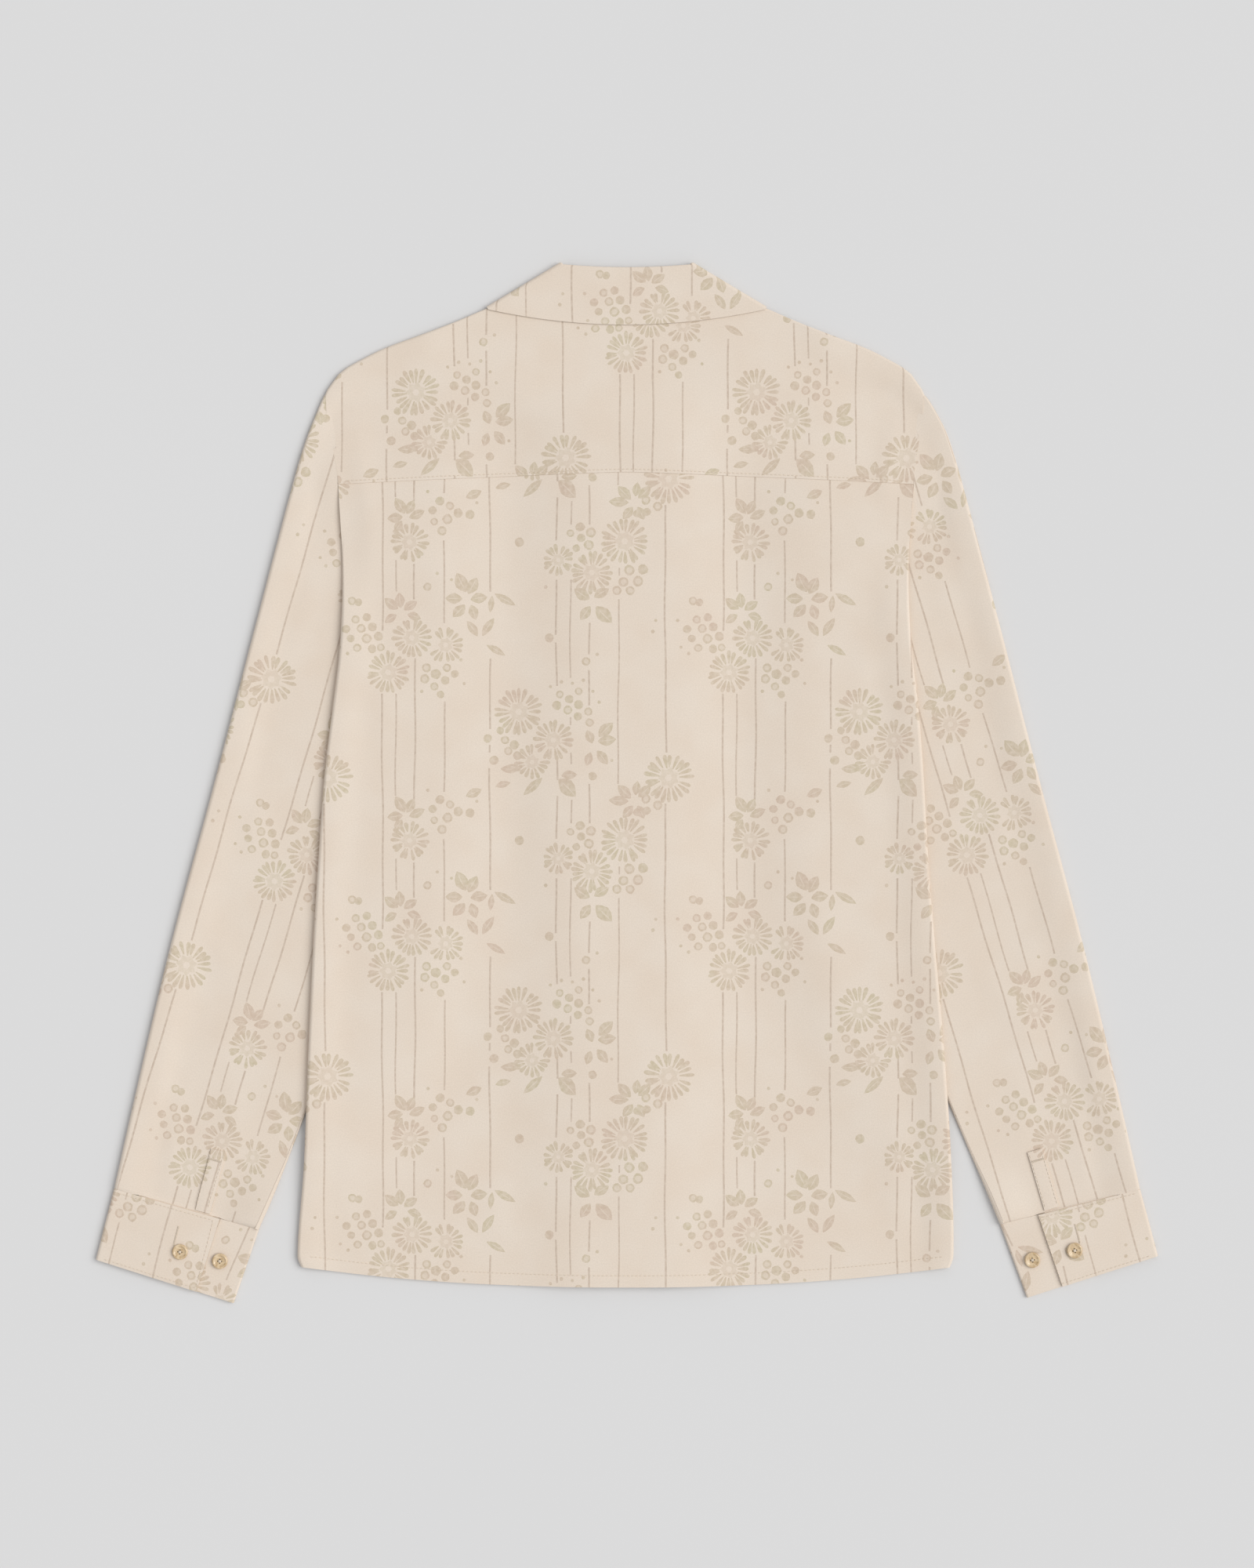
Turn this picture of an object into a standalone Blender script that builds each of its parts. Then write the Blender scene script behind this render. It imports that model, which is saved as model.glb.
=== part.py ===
"""A long sleeved jacquard shirt, laid flat and face down, so that its back shows.

Lengths are in metres. The shirt lies on the plane z = 0, +X points to the right as seen
from above, +Y runs from the hem to the collar and +Z points up. Left and right are the
wearer's own, which a view of the back shows on the same sides.

Each cloth piece starts as a flat grid. A function places its points on the piece's middle
surface, and Solidify gives that surface its wall.
"""

import math
from collections import namedtuple

import bmesh
import bpy
from mathutils import Vector

# Cloth and the room between layers
WALL = 0.0011
HALF = WALL / 2
GAP = 0.0003
AIR = 0.0005
LAYER = WALL + AIR
STEP = WALL + GAP
FRONT_STEP = STEP + 0.0002

# Folds that are not pressed flat stand a little open
SIDE_PUFF = 0.0025
SHOULDER_PUFF = 0.0015
SLEEVE_PUFF = 0.0030
PUFF_REACH = 0.030

# An upper layer starts to climb so much sooner than the layer below it
SPREAD = 0.025

# Fold detail
FOLD_STEPS = 4

LEFT = -1
RIGHT = 1

Row = namedtuple("Row", "y left right")
Point = namedtuple("Point", "x y")

# Visible edge of the body on each side, from the hem's corner up to the shoulder's tip
BODY_EDGE = (
    Row(-0.3570, 0.2375, 0.2360),
    Row(-0.3460, 0.2412, 0.2396),
    Row(-0.2770, 0.2362, 0.2378),
    Row(-0.1950, 0.2330, 0.2325),
    Row(-0.1140, 0.2292, 0.2255),
    Row(-0.0640, 0.2262, 0.2215),
    Row(0.0060, 0.2212, 0.2175),
    Row(0.0570, 0.2150, 0.2136),
    Row(0.0970, 0.2102, 0.2090),
    Row(0.1370, 0.2082, 0.2067),
    Row(0.1730, 0.2086, 0.2071),
    Row(0.2180, 0.2112, 0.2101),
    Row(0.2520, 0.2132, 0.2115),
    Row(0.2740, 0.2175, 0.2140),
    Row(0.2860, 0.2215, 0.2190),
)

# Under the body the armhole's seam turns in, so far from that edge
ARMHOLE_HOOK = (
    Row(0.0720, 0.030, 0.030),
    Row(0.0900, 0.018, 0.018),
    Row(0.1050, 0.009, 0.009),
    Row(0.1280, 0.003, 0.003),
    Row(0.1660, 0.002, 0.002),
    Row(0.1900, 0.000, 0.000),
)

# Outer fold of each sleeve, from the shoulder's tip down to the cuff
SLEEVE_OUTER = (
    Row(-0.3500, 0.3900, 0.3900),
    Row(-0.2770, 0.3706, 0.3712),
    Row(-0.2310, 0.3608, 0.3614),
    Row(-0.1160, 0.3335, 0.3340),
    Row(-0.0010, 0.3025, 0.3035),
    Row(0.1140, 0.2725, 0.2740),
    Row(0.2290, 0.2420, 0.2435),
    Row(0.2600, 0.2320, 0.2335),
    Row(0.2810, 0.2232, 0.2240),
    Row(0.2880, 0.2205, 0.2200),
)

# Inner fold of each sleeve, hidden under the body above the crotch at y = -0.236
SLEEVE_INNER = (
    Row(-0.3800, 0.2840, 0.2930),
    Row(-0.3460, 0.2740, 0.2786),
    Row(-0.3230, 0.2670, 0.2712),
    Row(-0.3000, 0.2580, 0.2625),
    Row(-0.2770, 0.2475, 0.2544),
    Row(-0.2360, 0.2330, 0.2370),
    Row(-0.1350, 0.1940, 0.1955),
    Row(-0.0900, 0.1840, 0.1840),
    Row(-0.0500, 0.1790, 0.1790),
    Row(-0.0100, 0.1770, 0.1770),
    Row(0.0300, 0.1775, 0.1775),
    Row(0.0720, 0.1800, 0.1800),
)

# Sections of a sleeve: how far down its outer fold and its inner fold each one lies
SleeveRing = namedtuple("SleeveRing", "outer_y inner_y")
ARMHOLE_TOP = 0.2825
ARMHOLE_BOTTOM = 0.0720
SLEEVE_RINGS = (
    SleeveRing(ARMHOLE_TOP, ARMHOLE_BOTTOM),
    SleeveRing(0.2550, 0.0640),
    SleeveRing(0.2240, 0.0530),
    SleeveRing(0.1820, 0.0380),
    SleeveRing(0.1360, 0.0180),
    SleeveRing(0.0880, -0.0080),
    SleeveRing(0.0380, -0.0420),
    SleeveRing(-0.0120, -0.0820),
    SleeveRing(-0.0640, -0.1250),
    SleeveRing(-0.1180, -0.1700),
    SleeveRing(-0.1740, -0.2200),
    SleeveRing(-0.2340, -0.2700),
)
# Shares of a section's width, closer together towards the outer fold
SLEEVE_SHARES = (0.0, 0.05, 0.10, 0.16, 0.23, 0.32, 0.44, 0.59, 0.74, 0.87, 1.0)
SLEEVE_FLAT_STEPS = len(SLEEVE_SHARES) - 1

# Corners of each cuff, out from the middle and up the page
Cuff = namedtuple("Cuff", "seam_outer seam_inner end_outer end_inner")
CUFF_LEFT = Cuff(Point(0.3757, -0.2970), Point(0.2695, -0.3272),
                 Point(0.3890, -0.3488), Point(0.2880, -0.3810))
CUFF_RIGHT = Cuff(Point(0.3765, -0.2975), Point(0.2738, -0.3232),
                  Point(0.3895, -0.3462), Point(0.2935, -0.3770))
CUFF_WALL = 0.0014
CUFF_STEP = CUFF_WALL + GAP
CUFF_OVERLAP = 0.026
CUFF_OVERLAP_EDGE = 0.73
CUFF_ROWS = 4

# Sleeve placket, on the back of each sleeve above the cuff's opening
PLACKET_TOP = Point(0.2990, -0.2690)
PLACKET_FOOT_LEFT = Point(0.3105, -0.3140)
PLACKET_FOOT_RIGHT = Point(0.3115, -0.3115)
PLACKET_WIDTH = 0.011
PLACKET_WALL = 0.0010

# Buttons
BUTTON_RADIUS = 0.0057
BUTTON_THICK = 0.0022
BUTTON_RIM = 0.0012
BUTTON_DISH = 0.0006
BUTTON_STEPS = 14
CUFF_BUTTONS_LEFT = (Point(0.3270, -0.3430), Point(0.2980, -0.3500))
CUFF_BUTTONS_RIGHT = (Point(0.3280, -0.3420), Point(0.2972, -0.3492))
FRONT_BUTTONS = 6
FRONT_BUTTON_TOP = 0.2050
FRONT_BUTTON_PITCH = 0.0850

# Hem, and the seam between the back and the yoke
HEM_Y = -0.3690
HEM_RISE = 0.0150
HEM_REACH = 0.2400
YOKE_SEAM_Y = 0.2275
YOKE_SEAM_DROP = 0.0085
YOKE_SEAM_REACH = 0.2070

# Shoulder, as seen from above: the silhouette from the neck to the tip
SHOULDER = (
    Point(0.0740, 0.3590),
    Point(0.1050, 0.3468),
    Point(0.1250, 0.3382),
    Point(0.1490, 0.3290),
    Point(0.1760, 0.3190),
    Point(0.1905, 0.3120),
    Point(0.2080, 0.3020),
    Point(0.2160, 0.2945),
    Point(0.2205, 0.2860),
)
NECK_HALF = 0.0740
NECK_DIP = 0.0100
FORWARD_SEAM_INNER = Point(0.0550, 0.3310)
FORWARD_SEAM_OUTER = Point(0.2205, 0.2620)
TIP_NORMAL = Vector((0.32, 0.95))
TIP_ROOM = 0.0006

# Front opening: half the placket's width, the break of the lapel and the roll line's top
PLACKET_HALF = 0.0150
BREAK_Y = 0.2250
ROLL_TOP = Point(0.0495, 0.3290)
NECK_FRONT_TOP = Point(0.0735, 0.3577)
NECK_FRONT_FOOT = Point(0.0570, 0.3336)
LAPEL_FOOT_Y = 0.2560
LAPEL_CORNER = Point(0.0840, 0.3020)
LAPEL_FOOT_WIDTH = 0.0050

# Collar lines on one side: neck seam, roll line and free edge, at the folds' centres
ROLL_BACK_Y = 0.3763
ROLL_SIDE = Point(0.0476, 0.3788)
ROLL_FRONT_MID = Point(0.0570, 0.3520)
ROLL_FRONT_END = Point(0.0500, 0.3305)
STAND_SIDE = Point(0.0732, 0.3579)
STAND_FRONT_END = Point(0.0567, 0.3338)
FALL_BACK_Y = 0.3357
FALL_SIDE = Point(0.1013, 0.3468)
FALL_FRONT_END = Point(0.1000, 0.2900)
COLLAR_SIDE_NORMAL = Vector((0.54, 0.84))
COLLAR_WALL = 0.0010
ROLL_PUFF = 0.0008
COLLAR_BACK_STEPS = 6
COLLAR_FRONT_STEPS = 4
STAND_STEPS = 2
FALL_STEPS = 3

# Colours
CLOTH_COLOUR = (0.78, 0.69, 0.58, 1.0)
BUTTON_COLOUR = (0.50, 0.39, 0.25, 1.0)

# Where the layers rise over what lies between them: each pair runs from none to full
WRAP_Y = (0.190, 0.166)
SLEEVE_LIFT_WIDE = 0.080
SLEEVE_LIFT_NEAR = 0.038
SLEEVE_LIFT_TOP = 0.240
SLEEVE_LIFT_FULL = 0.205
SLEEVE_LIFT_FOOT_Y = (-0.335, -0.262)
COLLAR_LIFT_START = 0.212
COLLAR_LIFT_FULL = 0.250
COLLAR_LIFT_WIDE = 0.165
COLLAR_LIFT_NEAR = 0.130
BUTTON_RISE_X = (0.046, 0.024)
BUTTON_RISE_Y = (0.256, 0.222)
OVERLAP_RISE_X = (0.052, 0.030)
OVERLAP_RISE_Y = (0.290, 0.262)
BACK_RISE_X = (0.095, 0.024)
BACK_RISE_Y = (0.300, 0.262)
SHOULDER_PUFF_X = (0.120, 0.150)
SHOULDER_PUFF_NEAR = 0.003
SIDE_PUFF_TOP_Y = (0.175, 0.110)
SIDE_PUFF_FOOT_Y = (-0.375, -0.345)
SIDE_PUFF_NEAR = 0.004
HEAD_RISE_Y = (0.195, 0.225)
INNER_PUFF_Y = (-0.265, -0.310)

# Where rows start to follow a curved seam or edge, and small clearances there
HEM_CURVE_TOP = -0.230
SEAM_CURVE_FOOT = 0.110
YOKE_EDGE_FROM = 0.090
NECK_BLEND = 0.040
TIP_ROOM_FROM = 0.255
LAPEL_HEAD_RISE = 0.0002
LAPEL_FOOT_RISE = 0.0004
SLOPE_REACH = 0.002
MERGE_REACH = 0.00001


def smooth(amount):
    """Rise from 0 to 1 with flat ends while amount goes from 0 to 1."""
    amount = min(1.0, max(0.0, amount))
    return amount * amount * (3.0 - 2.0 * amount)


def ramp(value, start, full):
    """Rise from 0 at start to 1 at full, whichever of the two is larger."""
    return smooth((value - start) / (full - start))


def mix(first, second, share):
    return first + (second - first) * share


def through(keys, values, at):
    """Read a smooth curve through a short table; outside the table its end values hold."""
    if at <= keys[0]:
        return values[0]
    if at >= keys[-1]:
        return values[-1]
    last = len(keys) - 1
    index = next(i for i in range(last) if at <= keys[i + 1])
    slopes = []
    for i in (index, index + 1):
        before, after = max(i - 1, 0), min(i + 1, last)
        slopes.append((values[after] - values[before]) / (keys[after] - keys[before]))
    width = keys[index + 1] - keys[index]
    t = (at - keys[index]) / width
    start, end = values[index], values[index + 1]
    return ((2 * t ** 3 - 3 * t ** 2 + 1) * start + (t ** 3 - 2 * t ** 2 + t) * width * slopes[0]
            + (3 * t ** 2 - 2 * t ** 3) * end + (t ** 3 - t ** 2) * width * slopes[1])


def side_value(table, y, side):
    """Distance out from the middle that a table of rows gives at a height y on one side."""
    keys = [row.y for row in table]
    values = [row.left if side == LEFT else row.right for row in table]
    return through(keys, values, y)


def body_edge(y, side):
    return side_value(BODY_EDGE, y, side)


def hem_line(x):
    return HEM_Y + HEM_RISE * (min(abs(x), HEM_REACH) / HEM_REACH) ** 2.4


def yoke_seam_line(x):
    return YOKE_SEAM_Y - YOKE_SEAM_DROP * (abs(x) / YOKE_SEAM_REACH) ** 1.2


def shoulder_line(x):
    return through([p.x for p in SHOULDER], [p.y for p in SHOULDER], abs(x))


def shoulder_normal(x):
    """Unit vector that points out of the shoulder, in the plane, for a positive x."""
    low = max(x - SLOPE_REACH, SHOULDER[0].x)
    high = min(x + SLOPE_REACH, SHOULDER[-1].x)
    slope = (shoulder_line(high) - shoulder_line(low)) / (high - low)
    return Vector((-slope, 1.0)).normalized()


def neck_line(x):
    """Back neck seam: it dips between the two shoulder points of the neck."""
    corner = SHOULDER[0].y - (HALF + LAYER / 2)
    return corner - NECK_DIP * (1.0 - (x / NECK_HALF) ** 2)


def wrap(y):
    """1 where the back turns round the body's edge, 0 where it ends at the armhole."""
    return ramp(y, *WRAP_Y)


def sleeve_lift(x, y, side, spread):
    """How far a sleeve that lies under the body lifts a layer of it."""
    inner = side_value(SLEEVE_INNER, y, side)
    full_lift = 2 * WALL + AIR + GAP
    across = ramp(abs(x), inner - SLEEVE_LIFT_WIDE - spread, inner - SLEEVE_LIFT_NEAR)
    along = ramp(y, SLEEVE_LIFT_TOP + spread, SLEEVE_LIFT_FULL) * ramp(y, *SLEEVE_LIFT_FOOT_Y)
    return full_lift * across * along


def collar_lift(x, y, spread):
    """How far the collar's and lapels' turned part lifts a layer that lies over it."""
    along = ramp(y, COLLAR_LIFT_START - 2 * spread, COLLAR_LIFT_FULL - spread)
    return STEP * along * ramp(abs(x), COLLAR_LIFT_WIDE + spread, COLLAR_LIFT_NEAR)


def underside(x, y, side):
    """Middle of the lower layer: the fronts and what is rolled under of the back."""
    return HALF + sleeve_lift(x, y, side, 0.0) + collar_lift(x, y, 0.0)


def front_surface(x, y, side):
    """Middle of one front, which rides over the buttons and over the other front."""
    own = x * side
    over_buttons = (BUTTON_THICK + GAP) * ramp(own, *BUTTON_RISE_X) * ramp(y, *BUTTON_RISE_Y)
    over_front = 0.0
    if side == RIGHT:
        over_front = FRONT_STEP * ramp(own, *OVERLAP_RISE_X) * ramp(y, *OVERLAP_RISE_Y)
    return underside(x, y, side) + over_buttons + over_front


def shoulder_puff(x, y):
    """Extra height of the yoke and the sleeve head beside the shoulder's fold."""
    near = ramp(shoulder_line(x) - y, PUFF_REACH, SHOULDER_PUFF_NEAR)
    return SHOULDER_PUFF * near * ramp(abs(x), *SHOULDER_PUFF_X)


def side_puff(y):
    return SIDE_PUFF * ramp(y, *SIDE_PUFF_TOP_Y) * ramp(y, *SIDE_PUFF_FOOT_Y)


def back_surface(x, y):
    """Middle of the upper layer: the back and the yoke."""
    side = LEFT if x < 0 else RIGHT
    height = HALF + LAYER + sleeve_lift(x, y, side, SPREAD) + collar_lift(x, y, SPREAD)
    over_placket = (BUTTON_THICK + GAP + FRONT_STEP) * ramp(abs(x), *BACK_RISE_X)
    height += over_placket * ramp(y, *BACK_RISE_Y)
    edge = body_edge(y, side)
    height += side_puff(y) * ramp(abs(x), edge - PUFF_REACH, edge - SIDE_PUFF_NEAR)
    return height + shoulder_puff(x, y)


def new_material(name, colour, roughness):
    material = bpy.data.materials.new(name)
    material.use_nodes = True
    shader = material.node_tree.nodes["Principled BSDF"]
    shader.inputs["Base Color"].default_value = colour
    shader.inputs["Roughness"].default_value = roughness
    shader.inputs["Metallic"].default_value = 0.0
    material.diffuse_color = colour
    return material


def finish_object(item, name, collection, material):
    """Name an object, put it in the shirt's collection and give it its material."""
    item.name = name
    item.data.name = name
    for owner in list(item.users_collection):
        owner.objects.unlink(item)
    collection.objects.link(item)
    item.data.materials.clear()
    item.data.materials.append(material)
    item.data.shade_smooth()
    return item


def cloth(name, columns, rows, place, collection, material, wall=WALL, closed=False, drop=None):
    """Make one cloth piece: a grid placed by a function of column and row, with a wall."""
    bpy.ops.mesh.primitive_grid_add(x_subdivisions=columns, y_subdivisions=rows, size=2.0)
    item = bpy.context.object
    mesh = item.data
    shape = bmesh.new()
    shape.from_mesh(mesh)
    spots = {}
    for vertex in shape.verts:
        column = round((vertex.co.x + 1.0) / 2.0 * columns)
        row = round((vertex.co.y + 1.0) / 2.0 * rows)
        spots[vertex] = (column, row)
        vertex.co = place(column, row)
    if drop:
        unwanted = [face for face in shape.faces if drop(*cell_of(face, spots))]
        bmesh.ops.delete(shape, geom=unwanted, context="FACES")
    if closed:
        bmesh.ops.remove_doubles(shape, verts=shape.verts, dist=1e-6)
    shape.to_mesh(mesh)
    shape.free()
    solid = item.modifiers.new("Wall", "SOLIDIFY")
    solid.thickness = wall
    solid.offset = 0.0
    solid.use_even_offset = True
    return finish_object(item, name, collection, material)


def cell_of(face, spots):
    """Lowest column and row of a grid face."""
    corners = [spots[vertex] for vertex in face.verts]
    return min(c[0] for c in corners), min(c[1] for c in corners)


# Back

BACK_FLAT_STEPS = 10
TURN_STEPS = 2
BACK_HALF_COLUMNS = BACK_FLAT_STEPS + TURN_STEPS
BODY_LEVELS = (HEM_Y, -0.3500, -0.3250, -0.2850, -0.2450, -0.2050, -0.1650, -0.1250, -0.0850,
               -0.0450, -0.0050, 0.0350, 0.0720, 0.1050, 0.1380, 0.1660, 0.1900)
BACK_LEVELS = BODY_LEVELS + (0.2090, YOKE_SEAM_Y)
ARMHOLE_STRIP = 0.0060
SEAM_ROOM = 0.00062


def edge_turn(y, side):
    """Start, radius and middle height of the turn that meets the side seam half way down."""
    edge = body_edge(y, side)
    lower = underside(edge * side, y, side)
    upper = back_surface(edge * side, y)
    radius = (upper - lower) / 2
    return edge - wrap(y) * (radius + HALF), radius, (upper + lower) / 2


def edge_x(share, beyond, y, side, inner):
    """Distance out of a column: a share of the flat part, or a step of the turn beyond it."""
    start, radius, _ = edge_turn(y, side)
    strip = ARMHOLE_STRIP * (1 - wrap(y))
    flat_end = start - strip
    if beyond == 0:
        return mix(inner, flat_end, share), 0.0
    quarter = math.pi / 2 - SEAM_ROOM / radius
    angle = quarter * wrap(y) * beyond / TURN_STEPS
    return flat_end + strip * beyond / TURN_STEPS + radius * math.sin(angle), angle


def place_back(column, row):
    offset = column - BACK_HALF_COLUMNS
    side = LEFT if offset < 0 else RIGHT
    share = min(1.0, abs(offset) / BACK_FLAT_STEPS)
    beyond = max(0, abs(offset) - BACK_FLAT_STEPS)
    level = BACK_LEVELS[row]
    y = level
    for _ in range(4):
        x, angle = edge_x(share, beyond, y, side, 0.0)
        hem_part = (hem_line(x) - HEM_Y) * ramp(level, HEM_CURVE_TOP, HEM_Y)
        seam_part = (yoke_seam_line(x) - GAP / 2 - YOKE_SEAM_Y) * ramp(level, SEAM_CURVE_FOOT, YOKE_SEAM_Y)
        y = level + hem_part + seam_part
    if angle == 0.0:
        return Vector((side * x, y, back_surface(side * x, y)))
    _, radius, middle = edge_turn(y, side)
    return Vector((side * x, y, middle + radius * math.cos(angle)))


# Yoke

YOKE_NECK_COLUMN = 6
YOKE_TOP_X = tuple(NECK_HALF * step / YOKE_NECK_COLUMN for step in range(YOKE_NECK_COLUMN + 1)) + (
    0.0930, 0.1150, 0.1380, 0.1620, 0.1860, 0.2070, 0.2205)
YOKE_HALF_COLUMNS = len(YOKE_TOP_X) - 1
YOKE_SHARES = (0.0, 0.16, 0.34, 0.52, 0.70, 0.86, 1.0)
YOKE_TOP_ROWS = len(YOKE_SHARES) - 1
YOKE_FORWARD_ROWS = 2
YOKE_ROWS = YOKE_TOP_ROWS + FOLD_STEPS + YOKE_FORWARD_ROWS


def yoke_column_x(step, y, side):
    """Distance out from the middle of a column of the yoke at a height y."""
    top = YOKE_TOP_X[step]
    tip = YOKE_TOP_X[-1]
    return top + (body_edge(y, side) - tip) * ramp(top, YOKE_EDGE_FROM, tip)


def shoulder_fold(step, side):
    """Centre, radius, outward normal and middle height of the shoulder's fold."""
    x = YOKE_TOP_X[step]
    edge = Vector((yoke_column_x(step, shoulder_line(x), side), shoulder_line(x)))
    upper = back_surface(side * edge.x, edge.y)
    lower = underside(side * edge.x, edge.y, side)
    radius = (upper - lower) / 2
    if step == YOKE_HALF_COLUMNS:
        tip = Vector((body_edge(ARMHOLE_TOP, side), ARMHOLE_TOP))
        return tip, radius, TIP_NORMAL, (upper + lower) / 2
    normal = shoulder_normal(x)
    return edge - normal * (radius + HALF), radius, normal, (upper + lower) / 2


def straight_share(first, second, at):
    return (at - first) / (second - first)


def neck_front_x(y):
    """Front neck seam, which is straight from the shoulder down to the lapel."""
    share = straight_share(NECK_FRONT_FOOT.y, NECK_FRONT_TOP.y, y)
    return mix(NECK_FRONT_FOOT.x, NECK_FRONT_TOP.x, share)


def forward_line(x):
    """Straight seam between the yoke and a front, on the underside below the shoulder."""
    share = straight_share(FORWARD_SEAM_INNER.x, FORWARD_SEAM_OUTER.x, x)
    return mix(FORWARD_SEAM_INNER.y, FORWARD_SEAM_OUTER.y, share)


def place_yoke(column, row):
    offset = column - YOKE_HALF_COLUMNS
    side = LEFT if offset < 0 else RIGHT
    step = abs(offset)
    centre, radius, normal, middle = shoulder_fold(step, side)
    if step < YOKE_NECK_COLUMN:
        top = Vector((YOKE_TOP_X[step], neck_line(YOKE_TOP_X[step])))
    else:
        top = centre
    if row <= YOKE_TOP_ROWS:
        foot_x = yoke_column_x(step, YOKE_SEAM_Y - YOKE_SEAM_DROP, side)
        foot_y = yoke_seam_line(foot_x) + GAP / 2
        y = mix(foot_y, top.y, YOKE_SHARES[row])
        x = mix(yoke_column_x(step, y, side), top.x, smooth(YOKE_SHARES[row]))
        if step == YOKE_HALF_COLUMNS:
            x = body_edge(y, side)
        if row == YOKE_TOP_ROWS and step >= YOKE_NECK_COLUMN:
            return Vector((side * top.x, top.y, middle + radius))
        return Vector((side * x, y, back_surface(side * x, y)))
    beyond = row - YOKE_TOP_ROWS
    if beyond <= FOLD_STEPS:
        turned = math.pi * beyond / FOLD_STEPS
        spot = centre + normal * radius * math.sin(turned)
        return Vector((side * spot.x, spot.y, middle + radius * math.cos(turned)))
    share = (beyond - FOLD_STEPS) / YOKE_FORWARD_ROWS
    x = centre.x
    for _ in range(8):
        y = mix(centre.y, forward_line(x) + GAP / 2, share)
        if step == YOKE_HALF_COLUMNS:
            x = body_edge(y, side)
        else:
            x = centre.x + (1 - ramp_column(step)) * (neck_front_x(y) - NECK_FRONT_TOP.x)
    return Vector((side * x, y, underside(side * x, y, side)))


def ramp_column(step):
    """0 at the yoke's neck column and 1 from 40 mm further out."""
    return min(1.0, max(0.0, (YOKE_TOP_X[step] - NECK_HALF) / NECK_BLEND))


def yoke_drop(column, row):
    """Faces of the grid that would close the neck."""
    inside = YOKE_HALF_COLUMNS - YOKE_NECK_COLUMN <= column < YOKE_HALF_COLUMNS + YOKE_NECK_COLUMN
    return inside and row >= YOKE_TOP_ROWS


# Fronts

FRONT_INSETS = (0.0, 0.0150, 0.0305, 0.0410, 0.0530)
FRONT_OUTER_SHARES = (0.0, 0.13, 0.26, 0.40, 0.54, 0.68, 0.82, 0.92, 1.0)
FRONT_FLAT_STEPS = len(FRONT_INSETS) + len(FRONT_OUTER_SHARES) - 2
FRONT_COLUMNS = FRONT_FLAT_STEPS + TURN_STEPS
FRONT_LEVELS = BODY_LEVELS + (0.2080, 0.2260, 0.2430, 0.2600, 0.2820, 0.3050, FORWARD_SEAM_INNER.y)
SLANT_START = BODY_LEVELS[-1]


def front_inner_x(y):
    """Inner edge of a front on its own side: placket, then the lapel's roll line."""
    if y <= BREAK_Y:
        return -PLACKET_HALF
    if y <= ROLL_TOP.y:
        return mix(-PLACKET_HALF, ROLL_TOP.x, (y - BREAK_Y) / (ROLL_TOP.y - BREAK_Y))
    return mix(ROLL_TOP.x, NECK_FRONT_FOOT.x, ramp(y, ROLL_TOP.y, NECK_FRONT_FOOT.y))


def front_column(column, y, side):
    """Distance out from the middle and turned angle of one column of a front."""
    inner = front_inner_x(y)
    if column < len(FRONT_INSETS):
        return inner + FRONT_INSETS[column], 0.0
    beyond = max(0, column - FRONT_FLAT_STEPS)
    share = FRONT_OUTER_SHARES[min(column, FRONT_FLAT_STEPS) - len(FRONT_INSETS) + 1]
    return edge_x(share, beyond, y, side, inner + FRONT_INSETS[-1])


def front_placer(side):
    def place(column, row):
        level = FRONT_LEVELS[row]
        y = level
        for _ in range(12):
            x, angle = front_column(column, y, side)
            hem_part = (hem_line(x) - HEM_Y) * ramp(level, HEM_CURVE_TOP, HEM_Y)
            slant = max(0.0, straight_share(SLANT_START, FRONT_LEVELS[-1], level))
            fall = forward_line(max(x, FORWARD_SEAM_INNER.x)) - GAP / 2 - FRONT_LEVELS[-1]
            y = mix(y, level + hem_part + slant * fall, 0.7)
        if angle == 0.0:
            return Vector((side * x, y, front_surface(side * x, y, side)))
        _, radius, middle = edge_turn(y, side)
        return Vector((side * x, y, middle - radius * math.cos(angle)))
    return place


# Lapels

LAPEL_COLUMNS = 3
LAPEL_ROWS = 3


def lapel_placer(side):
    def place(column, row):
        up = row / LAPEL_ROWS
        across = column / LAPEL_COLUMNS
        foot = Vector((front_inner_x(LAPEL_FOOT_Y) + HALF, LAPEL_FOOT_Y))
        head = Vector((ROLL_TOP.x + HALF, ROLL_TOP.y + LAPEL_HEAD_RISE))
        outer_foot = foot + Vector((LAPEL_FOOT_WIDTH, LAPEL_FOOT_RISE))
        outer_head = Vector(LAPEL_CORNER)
        spot = foot.lerp(head, up).lerp(outer_foot.lerp(outer_head, up), across)
        return Vector((side * spot.x, spot.y, HALF))
    return place


# Collar

COLLAR_HALF_COLUMNS = COLLAR_BACK_STEPS + FOLD_STEPS + COLLAR_FRONT_STEPS
COLLAR_ROWS = STAND_STEPS + FOLD_STEPS + FALL_STEPS
STAND_REACH = LAYER / 2
COLLAR_MIDDLE = STEP + HALF + LAYER / 2
FALL_REACH = COLLAR_MIDDLE - COLLAR_WALL / 2


def bend(start, middle, end, share):
    """Point on a quadratic curve that passes near its middle point."""
    start, middle, end = Vector(start), Vector(middle), Vector(end)
    return start.lerp(middle, share).lerp(middle.lerp(end, share), share)


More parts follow.
